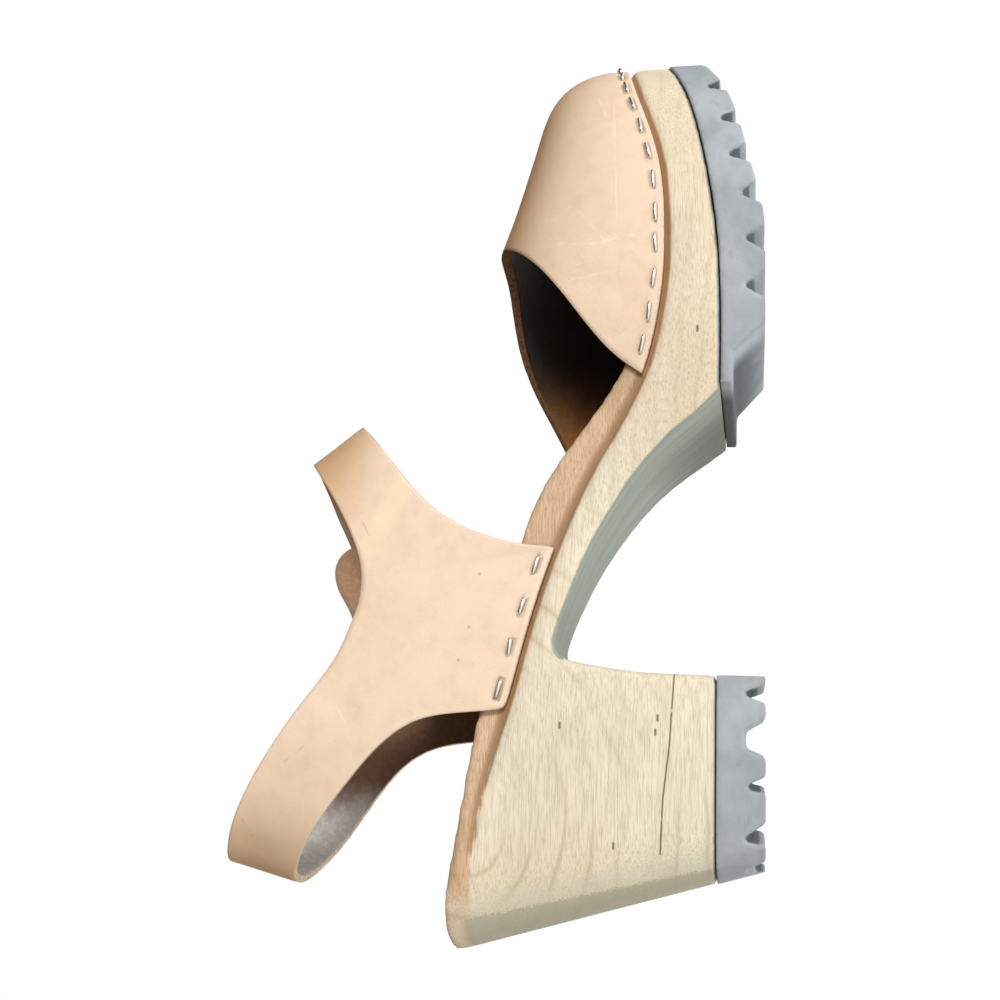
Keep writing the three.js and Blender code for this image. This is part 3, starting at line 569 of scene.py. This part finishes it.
def grain_finish(name, look, marks, tanned, tan, specks=(), sheen_stripe=None):
    """Smooth natural leather: soft tan clouds, pores, hair-fine wrinkles and scratches."""
    leather = Finish(name)
    drift = leather.swirl(2.4 * MM, 60)
    clouds = leather.noise(19, 3, 0.5)
    mottle = leather.noise(210, 4, 0.6)
    pores = leather.cells(1250)
    wrinkle_patch = leather.noise(33, 2).step(0.42, 0.66)
    creases = 1 - leather.cells(330, "DISTANCE_TO_EDGE", leather.swirl(4 * MM, 190)).step(0, 0.09)
    creases = creases * wrinkle_patch * leather.noise(120, 2).step(0.5, 0.66)
    colour = leather.mix(clouds.step(0.35, 0.72) * 0.32, look.grain, look.grain_deep)
    colour = leather.mix(mottle.step(0.4, 0.75) * 0.28, colour, dimmed(look.grain_deep, 0.86))
    colour = leather.mix(creases * 0.1, colour, dimmed(look.grain_deep, 0.6))
    # Painted shade: the tanned mask darkens the leather towards the tan colour where it turns from the light
    colour = leather.mix(tanned(leather), colour, tan)
    # Painted shadow round each staple's wire
    staple_shadow = 1 - leather.stored("from_staple").step(0.4 * MM, 1.1 * MM)
    colour = leather.mix(staple_shadow * 0.95, colour, (0.07, 0.035, 0.02))
    pressed = creases * 0.3
    side_view, inner_side = leather.inner_side(drift)
    broken = inner_side * leather.noise(300, 2).step(0.35, 0.6) * 0.85
    for start, end, width, paleness in marks:
        mark = leather.near_line(side_place(*start), side_place(*end), 0.6 * width * MM, side_view) * broken
        shade = (0.97, 0.84, 0.68) if paleness > 0 else (0.34, 0.17, 0.08)
        colour = leather.mix(mark * abs(paleness), colour, shade)
        pressed = pressed + mark * 0.5
    for speck in specks:
        dot = leather.near_point(side_place(*speck), 0.7 * MM, side_view) * inner_side
        colour = leather.mix(dot * 0.55, colour, (0.3, 0.15, 0.07))
    if sheen_stripe:
        start, end, width = sheen_stripe
        # Painted highlight along the stripe
        sheen = leather.near_line(side_place(*start), side_place(*end), width * MM, side_view) * inner_side
        colour = leather.mix(sheen * 0.35, colour, (0.95, 0.74, 0.46))
    relief = pores.step(0, 0.6) * 0.25 + mottle * 0.35 - pressed
    rough = 0.47 + mottle * 0.14 + creases * 0.12
    leather.set(Base_Color=colour, Roughness=rough, Normal=leather.bump(relief, 0.07 * MM, 0.75))
    leather.set(Specular_IOR_Level=0.36, Coat_Weight=0.05, Coat_Roughness=0.35)
    return leather.material


def vamp_crest_shade(leather):
    """Painted shade on the vamp, darkening from its lower edge to its crest as it turns from the light."""
    side = leather.axis("Y")
    towards_middle = 1 - (side * side).step((20 * MM) ** 2, (42 * MM) ** 2)
    return leather.axis("Z").step(36 * MM, 66 * MM) * towards_middle * 0.9


def ankle_strap_shade(leather):
    """Painted shade on the straps, darker round the heel and over the instep where they turn from the light.
    """
    along = leather.axis("X") + (leather.noise(40, 2) - 0.5) * (20 * MM)
    round_heel = 1 - along.step(-112 * MM, -82 * MM)
    over_instep = leather.axis("Z").step(98 * MM, 118 * MM) * along.step(-30 * MM, 0)
    return round_heel.largest(over_instep) * 0.7


def cut_edge_finish(name, shade, fibre):
    """Raw edge of the leather with loose fibres in layers."""
    edge = Finish(name)
    strands = edge.noise(900, 4, 0.75)
    layers = edge.noise(1, 3, 0.7, edge.stretched((500, 500, 1500)))
    colour = edge.mix(strands.step(0.35, 0.7), shade, fibre)
    colour = edge.mix(layers.step(0.55, 0.75) * 0.4, colour, dimmed(fibre, 0.5))
    edge.set(Base_Color=colour, Roughness=0.9, Normal=edge.bump(strands + layers, 0.22 * MM, 0.9))
    edge.set(Specular_IOR_Level=0.2)
    return edge.material


def flesh_finish(name, shade, lit_far_colour, start, end, tab_shade=None):
    """Brushed flesh side in painted light and shade; from start to end along the shoe its nap goes from the
    lit far colour to the shade.
    """
    flesh = Finish(name)
    nap = flesh.noise(620, 5, 0.75)
    strokes = flesh.noise(1, 3, 0.6, flesh.stretched((90, 260, 260)))
    blend = (flesh.axis("X") + (strokes - 0.5) * (6 * MM)).step(start, end)
    base = flesh.mix(blend, lit_far_colour, shade)
    if tab_shade:
        tab = flesh.axis("Z").step(94 * MM, 104 * MM) * flesh.axis("X").step(-75 * MM, -50 * MM)
        base = flesh.mix(tab, base, tab_shade)
    fuzz = flesh.mix(0.55, base, base, "ADD")
    colour = flesh.mix(nap.step(0.35, 0.75) * 0.7, base, fuzz)
    colour = flesh.mix(strokes.step(0.5, 0.8) * 0.3, colour, flesh.mix(0.5, base, (0.05, 0.03, 0.02)))
    flesh.set(Base_Color=colour, Roughness=0.96, Normal=flesh.bump(nap, 0.3 * MM, 0.9))
    flesh.set(Specular_IOR_Level=0.15, Sheen_Weight=0.25, Sheen_Roughness=0.6)
    return flesh.material


def steel_finish(look):
    """Drawn steel wire, a little dull in places."""
    steel = Finish("Bright steel wire")
    haze = steel.noise(900, 3, 0.6)
    drawn = steel.noise(1, 2, 0.6, steel.stretched((900, 5200, 5200)))
    colour = steel.mix(haze.step(0.4, 0.7) * 0.3, look.steel, (0.5, 0.48, 0.45))
    steel.set(Base_Color=colour, Roughness=0.2 + haze * 0.22, Normal=steel.bump(drawn, 0.02 * MM, 0.6))
    steel.set(Metallic=1.0)
    return steel.material


# An edge this close to the next piece is part of a tight joint and stays crisp
JOINT_REACH = 1.3 * MM


def sand_edges(piece, neighbours, reach, passes):
    """Round the worn edges, except close to the pieces that meet them in a tight joint."""
    joint = BVHTree.FromBMesh(neighbours)
    form = bmesh.new()
    form.from_mesh(piece.data)
    free = [vertex for vertex in form.verts if joint.find_nearest(vertex.co, reach)[0] is None]
    for _ in range(passes):
        bmesh.ops.smooth_vert(form, verts=free, factor=0.5, use_axis_x=True, use_axis_y=True, use_axis_z=True)
    form.to_mesh(piece.data)
    form.free()


def solid_piece(name, node, sharp, look, neighbour_nodes):
    """A wooden or rubber solid: its curves smoothed, its faces evened out and its edges worn."""
    form = copied_node(node)
    crease_edges(form, sharp, 1.0)
    piece = new_piece(name, form)
    subdivide(piece, 2)
    faces = piece.modifiers.new("Even faces", "REMESH")
    faces.mode = "VOXEL"
    faces.voxel_size = look.voxel
    settle(piece)
    neighbours = bmesh.new()
    for neighbour in neighbour_nodes:
        neighbours.from_mesh(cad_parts[neighbour].data)
    sand_edges(piece, neighbours, JOINT_REACH, look.softness)
    neighbours.free()
    return piece


def faces_tree(form, chosen):
    """A search tree of the chosen faces alone."""
    places = [vertex.co.copy() for vertex in form.verts]
    return BVHTree.FromPolygons(places, [[vertex.index for vertex in face.verts] for face in chosen])


# The milled step: its greatest width, how deep it is at least, and where it runs out beside the heel;
# then the ends of the middle line of the shoe's top
STEP_WIDTH = 4.5 * MM
STEP_DEPTH = 1.2 * MM
STEP_END = -91.5 * MM
TOP_REAR = -95 * MM
TOP_FRONT = 70 * MM


def milled_faces(form):
    """The faces of the step that the leather sits in: they face up, close to a wall on their inner side."""
    walls = BVHTree.FromBMesh(form)
    chosen = []
    for face in form.faces:
        place = face.calc_center_median()
        if face.normal.z < 0.25 or place.x < STEP_END:
            continue
        inward = Vector((min(max(place.x, TOP_REAR), TOP_FRONT), 0, place.z)) - place
        above = place + Vector((0, 0, STEP_DEPTH))
        if walls.ray_cast(above, inward.normalized(), STEP_WIDTH)[0] is not None:
            chosen.append(face)
    return chosen


def paint_wood(piece):
    """Store how far each place is from the milled step and the underside, and what lies above the step."""
    plain = bmesh.new()
    plain.from_mesh(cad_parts["wood_base"].data)
    plain.normal_update()
    plain.verts.index_update()
    step = faces_tree(plain, milled_faces(plain))
    lowest = faces_tree(plain, [face for face in plain.faces if face.normal.z < -0.3])
    plain.free()
    form = bmesh.new()
    form.from_mesh(piece.data)
    from_step = form.verts.layers.float.new("from_step")
    above_step = form.verts.layers.float.new("above_step")
    from_underside = form.verts.layers.float.new("from_underside")
    for vertex in form.verts:
        nearest, _, _, distance = step.find_nearest(vertex.co)
        vertex[from_step] = distance
        vertex[above_step] = vertex.co.z - nearest.z
        vertex[from_underside] = lowest.find_nearest(vertex.co)[3]
    form.to_mesh(piece.data)
    form.free()


def paint_groove_shade(piece, width):
    """Store how deep in a groove each place lies, for painted shade there: it looks at another face of the
    tread close by.
    """
    form = bmesh.new()
    form.from_mesh(piece.data)
    form.normal_update()
    tread = BVHTree.FromBMesh(form)
    groove_shade = form.verts.layers.float.new("groove_shade")
    for vertex in form.verts:
        facing = tread.ray_cast(vertex.co + vertex.normal * 0.3 * MM, vertex.normal, width)[3]
        vertex[groove_shade] = 0.0 if facing is None else min(1.0, 2 * (1 - facing / width))
    form.to_mesh(piece.data)
    form.free()


# An edge of the leather that turns by more is a corner of its cut edge
LEATHER_CORNER = math.radians(48)


def leather_form(node, levels):
    """A CAD leather wall with its two sides and cut edge told apart, subdivided."""
    form = copied_node(node)
    bmesh.ops.recalc_face_normals(form, faces=form.faces)
    tell_sides_apart(form, LEATHER_CORNER)
    crease_edges(form, LEATHER_CORNER, 0.82)
    piece = new_piece(node + "_leather", form)
    subdivide(piece, levels)
    return piece


# How far from a staple's middle its dimple reaches, and how fast it fades from the wire
DIMPLE_REACH = 7 * MM
DIMPLE_FADE = 1.25 * MM


def draw_in(form, node, depth):
    """Sink the leather under a staple's crown."""
    middle, long, width, outward, length = bar_frame(node)
    for vertex in form.verts:
        offset = vertex.co - middle
        if offset.length > DIMPLE_REACH or vertex.normal.dot(outward) < 0.1:
            continue
        run = max(0.0, abs(offset.dot(long)) - length / 2)
        away = math.hypot(run, offset.dot(width))
        vertex.co -= outward * depth * math.exp(-((away / DIMPLE_FADE) ** 2))


def crease(form, start, end, width, depth):
    """Press a soft trough into the grain side between two places."""
    run = end - start
    for vertex in form.verts:
        share = (vertex.co - start).dot(run) / run.length_squared
        if not -0.3 < share < 1.3:
            continue
        away = (vertex.co - start - run * share).length
        if away > 3 * width:
            continue
        fade = 1 - abs(2 * share - 1) ** 3 if 0 < share < 1 else 0
        vertex.co -= vertex.normal * depth * fade * math.exp(-((away / width) ** 2))


# Soft creases of the leather, in millimetres: start, end, width and depth
VAMP_CREASES = (
    ((46, -42.5, 30), (52, -38.5, 52), 3, 0.35),
    ((61.5, -43.7, 33), (60.5, -38.5, 54.5), 2.2, 0.3),
    ((68, -37, 57), (72, -41, 47), 2.4, 0.25),
    ((52, 43, 30), (56, 39, 52), 3, 0.4),
    ((66, 44, 31), (64, 38, 56), 2.4, 0.3),
    ((70, -18, 66), (73, 18, 66), 3.4, 0.3),
)
ANKLE_CREASES = (
    ((-12, -31.2, 100), (-3, -31.2, 90.5), 3.4, 0.3),
    ((-55.5, -31.2, 117), (-63, -31.2, 103), 3.6, 0.3),
    ((-79, -29, 129), (-75, -29.5, 116), 3.2, 0.28),
    ((-37, -31.2, 90), (-20, -31.2, 82), 4, 0.22),
    ((-95.5, -21, 139), (-100, -21.5, 127), 3, 0.25),
    ((-52, 30.5, 120), (-60, 30.5, 105), 3.4, 0.3),
)


def sculpt_leather(piece, staples, creases, dimple):
    """Draw the leather in at its staples, press its creases and store how far each place is from a staple."""
    form = bmesh.new()
    form.from_mesh(piece.data)
    form.normal_update()
    for node in staples:
        draw_in(form, node, dimple)
    form.normal_update()
    bars = bmesh.new()
    for node in staples:
        bars.from_mesh(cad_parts[node].data)
    wires = BVHTree.FromBMesh(bars)
    bars.free()
    from_staple = form.verts.layers.float.new("from_staple")
    for vertex in form.verts:
        vertex[from_staple] = wires.find_nearest(vertex.co)[3]
    for start, end, width, depth in creases:
        crease(form, Vector(start) * MM, Vector(end) * MM, width * MM, depth * MM)
    form.to_mesh(piece.data)
    form.free()


# The staple's wire: sides of its section and how flat it is rolled
WIRE_SIDES = 8
WIRE_FLATNESS = 0.78


def staple_form(length, wire, leg):
    """A wire staple: two legs and a crown with bent corners, the crown along X and outward along Z."""
    form = bmesh.new()
    radius = wire / 2
    bend = wire * 0.75
    side = length / 2 - radius
    made = bmesh.ops.create_circle(form, segments=WIRE_SIDES, radius=radius)
    rim = list({edge for vertex in made["verts"] for edge in vertex.link_edges})
    bmesh.ops.scale(form, verts=made["verts"], vec=(WIRE_FLATNESS, 1, 1))
    bmesh.ops.translate(form, verts=made["verts"], vec=(-side, 0, -leg))

    def pull(edges, move):
        grown = bmesh.ops.extrude_edge_only(form, edges=edges)["geom"]
        verts = [part for part in grown if isinstance(part, bmesh.types.BMVert)]
        bmesh.ops.translate(form, verts=verts, vec=move)
        return [part for part in grown if isinstance(part, bmesh.types.BMEdge)]

    def turn(edges, centre):
        last = bmesh.ops.spin(
            form, geom=edges, cent=centre, axis=(0, 1, 0), angle=math.radians(90), steps=3, use_merge=False
        )["geom_last"]
        return [part for part in last if isinstance(part, bmesh.types.BMEdge)]

    rim = pull(rim, (0, 0, leg - bend))
    rim = turn(rim, (-side + bend, 0, -bend))
    rim = pull(rim, (2 * (side - bend), 0, 0))
    rim = turn(rim, (side - bend, 0, -bend))
    pull(rim, (0, 0, bend - leg))
    bmesh.ops.holes_fill(form, edges=form.edges, sides=WIRE_SIDES)
    bmesh.ops.remove_doubles(form, verts=form.verts, dist=0.001 * MM)
    bmesh.ops.recalc_face_normals(form, faces=form.faces)
    return form


def stapled(node, number, look):
    """One staple where the CAD bar lies, a little askew as a staple gun leaves it."""
    middle, long, width, outward, length = bar_frame(node)
    if long.cross(width).dot(outward) < 0:
        width = -width
    form = staple_form(length, look.wire, look.leg)
    skew = Matrix.Rotation(math.radians(5.5) * math.sin(number * 2.4), 4, "Z")
    seat = Matrix((long, width, outward)).transposed().to_4x4()
    sunk = outward * (0.12 * MM * math.sin(number * 1.7) - 0.1 * MM)
    bmesh.ops.transform(form, matrix=Matrix.Translation(middle + sunk) @ seat @ skew, verts=form.verts)
    return new_piece("wire_" + node, form)


# Profiles of the press stud's halves: shares of its radius and of its height
CAP_PROFILE = (
    (0, 0), (0.9, 0), (1, 0.1), (1, 0.3), (0.93, 0.48),
    (0.78, 0.52), (0.74, 0.62), (0.6, 0.86), (0.3, 0.98), (0, 1),
)
SOCKET_PROFILE = (
    (0, 0), (0.92, 0), (1, 0.14), (0.98, 0.5), (0.86, 0.66),
    (0.6, 0.72), (0.52, 0.95), (0.36, 1), (0.26, 0.5), (0, 0.45),
)


def stud_disc(name, node, profile, outward):
    """A turned half of the press stud: its profile spun about the axis through the leather."""
    low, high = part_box(node)
    middle = (low + high) / 2
    radius = (high.x - low.x) / 2
    depth = high.y - low.y
    foot = Vector((middle.x, low.y if outward > 0 else high.y, middle.z))
    form = bmesh.new()
    chain = [form.verts.new((radius * across, depth * up * outward, 0)) for across, up in profile]
    for first, second in zip(chain, chain[1:]):
        form.edges.new((first, second))
    bmesh.ops.spin(
        form, geom=form.verts[:] + form.edges[:], cent=(0, 0, 0), axis=(0, 1, 0), angle=2 * math.pi, steps=40,
        use_merge=True,
    )
    bmesh.ops.remove_doubles(form, verts=form.verts, dist=0.001 * MM)
    bmesh.ops.recalc_face_normals(form, faces=form.faces)
    bmesh.ops.translate(form, verts=form.verts, vec=foot)
    return new_piece(name, form)


class CLOG_OT_wooden_sole(bpy.types.Operator):
    """Carve the wooden sole with its heel, rebate and footbed"""

    bl_idname = "clog.wooden_sole"
    bl_label = "Wooden sole"

    def execute(self, context):
        look = context.scene.clog_wood
        treads = ("forefoot_tread", "heel_tread")
        sole = solid_piece("wooden_sole", "wood_base", math.radians(28), look, treads)
        paint_wood(sole)
        sole.data.materials.append(wood_finish(look))
        join_shoe(sole, "wood_base")
        return {"FINISHED"}


class CLOG_OT_rubber_treads(bpy.types.Operator):
    """Mould the two rubber treads with their cross grooves"""

    bl_idname = "clog.rubber_treads"
    bl_label = "Rubber treads"

    def execute(self, context):
        look = context.scene.clog_rubber
        rubber = rubber_finish(look)
        for name, node in (("platform_tread", "forefoot_tread"), ("heel_top_piece", "heel_tread")):
            tread = solid_piece(name, node, math.radians(18), look, ("wood_base",))
            paint_groove_shade(tread, look.groove)
            tread.data.materials.append(rubber)
            join_shoe(tread, node)
        return {"FINISHED"}


class CLOG_OT_vamp(bpy.types.Operator):
    """Shape the closed leather front with its raw edges and staple dimples"""

    bl_idname = "clog.vamp"
    bl_label = "Vamp"

    def execute(self, context):
        look = context.scene.clog_leather
        vamp = leather_form("vamp", look.levels)
        sculpt_leather(vamp, VAMP_STAPLES, VAMP_CREASES, look.staple_dimple)
        for material in (
            grain_finish("Vamp grain side", look, VAMP_MARKS, vamp_crest_shade, look.crest),
            # The throat's cut edge is painted dark as shade
            cut_edge_finish("Vamp cut edge in shade", (0.3, 0.16, 0.08), (0.12, 0.06, 0.03)),
            # Inside the vamp the nap is painted near-black as shade, lighter towards the throat where light
            # reaches it
            flesh_finish("Vamp flesh side", dimmed(look.flesh, 0.2), (0.34, 0.14, 0.04), 18 * MM, 50 * MM),
            cut_edge_finish("Vamp lower edge", look.cut_edge, (0.5, 0.36, 0.24)),
        ):
            vamp.data.materials.append(material)
        for face in vamp.data.polygons:
            if face.material_index == CUT_EDGE and face.normal.z < -0.4:
                face.material_index = LOWER_EDGE
        join_shoe(vamp, "vamp")
        return {"FINISHED"}


class CLOG_OT_ankle_leather(bpy.types.Operator):
    """Shape the wings, heel strap, tab and instep strap"""

    bl_idname = "clog.ankle_leather"
    bl_label = "Ankle leather"

    def execute(self, context):
        look = context.scene.clog_leather
        ankle = leather_form("ankle_upper", look.levels)
        sculpt_leather(ankle, WING_STAPLES, ANKLE_CREASES, look.staple_dimple)
        for material in (
            grain_finish(
                "Strap grain side", look, ANKLE_MARKS, ankle_strap_shade, look.grain_top_shade, ANKLE_SPECKS, ANKLE_SHEEN_STRIPE
            ),
            cut_edge_finish("Strap cut edge", look.cut_edge, dimmed(look.cut_edge, 0.6)),
            # The strap's nap is painted in light and shade: grey-white where lit round the heel, near-black
            # in shade elsewhere
            flesh_finish(
                "Strap flesh side", look.flesh, (0.74, 0.7, 0.68), -100 * MM, -80 * MM, (0.45, 0.27, 0.16)
            ),
        ):
            ankle.data.materials.append(material)
        join_shoe(ankle, "ankle_upper")
        return {"FINISHED"}


class CLOG_OT_staples(bpy.types.Operator):
    """Set the bent wire staples round the vamp and on the wings"""

    bl_idname = "clog.staples"
    bl_label = "Staples"

    def execute(self, context):
        look = context.scene.clog_metal
        steel = steel_finish(look)
        for number, node in enumerate(VAMP_STAPLES + WING_STAPLES):
            wire = stapled(node, number, look)
            wire.data.materials.append(steel)
            join_shoe(wire, node)
        return {"FINISHED"}


class CLOG_OT_press_stud(bpy.types.Operator):
    """Turn the two halves of the press stud on the outer side"""

    bl_idname = "clog.press_stud"
    bl_label = "Press stud"

    def execute(self, context):
        steel = steel_finish(context.scene.clog_metal)
        for name, node, profile, outward in (
            ("press_stud_cap", "snap_cap", CAP_PROFILE, 1),
            ("press_stud_socket", "snap_socket", SOCKET_PROFILE, -1),
        ):
            half = stud_disc(name, node, profile, outward)
            half.data.materials.append(steel)
            join_shoe(half, node)
        return {"FINISHED"}


# The stage: where the light and the camera stand, what they look at, and the floor's reach and drop
LIGHT_STAND = Vector((0.5, -1.1, 0.14))
LIGHT_TARGET = Vector((0, 0, 0.07))
CAMERA_STAND = Vector((-0.066, -0.3775, 0.0024))
CAMERA_TARGET = Vector((0, 0, 0.074))
FLOOR_REACH = 6
FLOOR_DROP = 0.05 * MM


def lay_floor(look):
    """A pale floor that shines a little, so that it ends in white."""
    form = bmesh.new()
    bmesh.ops.create_grid(form, x_segments=2, y_segments=2, size=FLOOR_REACH)
    bmesh.ops.translate(form, verts=form.verts, vec=(0, 0, -FLOOR_DROP))
    floor = new_piece("pale_floor", form)
    paint = Finish("Pale floor")
    cloud = paint.noise(3, 2)
    paint.set(
        Base_Color=paint.mix(cloud * 0.06, look.floor, dimmed(look.floor, 0.94)),
        Roughness=0.85 + cloud * 0.1,
        Emission_Color=(1, 1, 1, 1),
        Emission_Strength=look.floor_glow,
    )
    floor.data.materials.append(paint.material)


def light_room(look):
    """A faint warm room, plain white where the camera sees it, and one large soft light."""
    room = bpy.data.worlds.new("Soft room")
    bpy.context.scene.world = room
    room.use_nodes = True
    nodes, links = room.node_tree.nodes, room.node_tree.links
    path = nodes.new("ShaderNodeLightPath")
    tint = nodes.new("ShaderNodeMix")
    tint.data_type = "RGBA"
    tint.inputs[6].default_value = (*dimmed(look.room, look.room_power), 1)
    tint.inputs[7].default_value = (1, 1, 1, 1)
    links.new(path.outputs["Is Camera Ray"], tint.inputs[0])
    links.new(tint.outputs[2], nodes["Background"].inputs["Color"])
    lamp = bpy.data.lights.new("key_light", "AREA")
    lamp.shape = "SQUARE"
    lamp.size = look.key_size
    lamp.energy = look.key_power
    light = bpy.data.objects.new("key_light", lamp)
    light.location = LIGHT_STAND
    light.rotation_euler = (LIGHT_TARGET - LIGHT_STAND).to_track_quat("-Z", "Y").to_euler()
    bpy.context.scene.collection.objects.link(light)


def place_camera(look):
    """The camera at the photo's angle, rolled so that the toe points up in the picture."""
    lens = bpy.data.cameras.new("photo_camera")
    lens.sensor_width = 36
    lens.lens = look.lens
    lens.clip_start = 5 * MM
    lens.clip_end = 5 * FLOOR_REACH
    camera = bpy.data.objects.new("photo_camera", lens)
    ahead = (CAMERA_TARGET - CAMERA_STAND).normalized()
    down = Vector((0, 0, -1))
    right = (down - ahead * down.dot(ahead)).normalized()
    turn = Matrix((right, right.cross(ahead), -ahead)).transposed()
    camera.matrix_world = Matrix.Translation(CAMERA_STAND) @ turn.to_4x4()
    bpy.context.scene.collection.objects.link(camera)
    bpy.context.scene.camera = camera


class CLOG_OT_stage(bpy.types.Operator):
    """Lay the pale floor and place the soft light and the camera"""

    bl_idname = "clog.stage"
    bl_label = "Stage"

    def execute(self, context):
        look = context.scene.clog_stage
        lay_floor(look)
        light_room(look)
        place_camera(look)
        context.scene.view_settings.view_transform = "Standard"
        return {"FINISHED"}


OPERATORS = (
    CLOG_OT_stage,
    CLOG_OT_wooden_sole,
    CLOG_OT_rubber_treads,
    CLOG_OT_vamp,
    CLOG_OT_ankle_leather,
    CLOG_OT_staples,
    CLOG_OT_press_stud,
)
SETTINGS = {
    "clog_wood": WoodSettings,
    "clog_rubber": RubberSettings,
    "clog_leather": LeatherSettings,
    "clog_metal": MetalSettings,
    "clog_stage": StageSettings,
}


class CLOG_PT_panel(bpy.types.Panel):
    """Sizes, colours and steps of the clog"""

    bl_idname = "CLOG_PT_panel"
    bl_label = "Platform clog"
    bl_space_type = "VIEW_3D"
    bl_region_type = "UI"
    bl_category = "Clog"

    def draw(self, context):
        for operator in OPERATORS:
            self.layout.operator(operator.bl_idname)
        for group, kind in SETTINGS.items():
            box = self.layout.box()
            for key in kind.__annotations__:
                box.prop(getattr(context.scene, group), key)


def register():
    for kind in (*SETTINGS.values(), *OPERATORS, CLOG_PT_panel):
        bpy.utils.register_class(kind)
    for group, kind in SETTINGS.items():
        setattr(bpy.types.Scene, group, PointerProperty(type=kind))


def unregister():
    for group in SETTINGS:
        delattr(bpy.types.Scene, group)
    for kind in reversed((*SETTINGS.values(), *OPERATORS, CLOG_PT_panel)):
        bpy.utils.unregister_class(kind)


def main():
    """Build the shoe and its stage."""
    register()
    for operator in OPERATORS:
        group, name = operator.bl_idname.split(".")
        if "FINISHED" not in getattr(getattr(bpy.ops, group), name)():
            raise RuntimeError(f"{operator.bl_label} wasn't finished")
    bpy.context.view_layer.update()


if __name__ == "__main__":
    main()
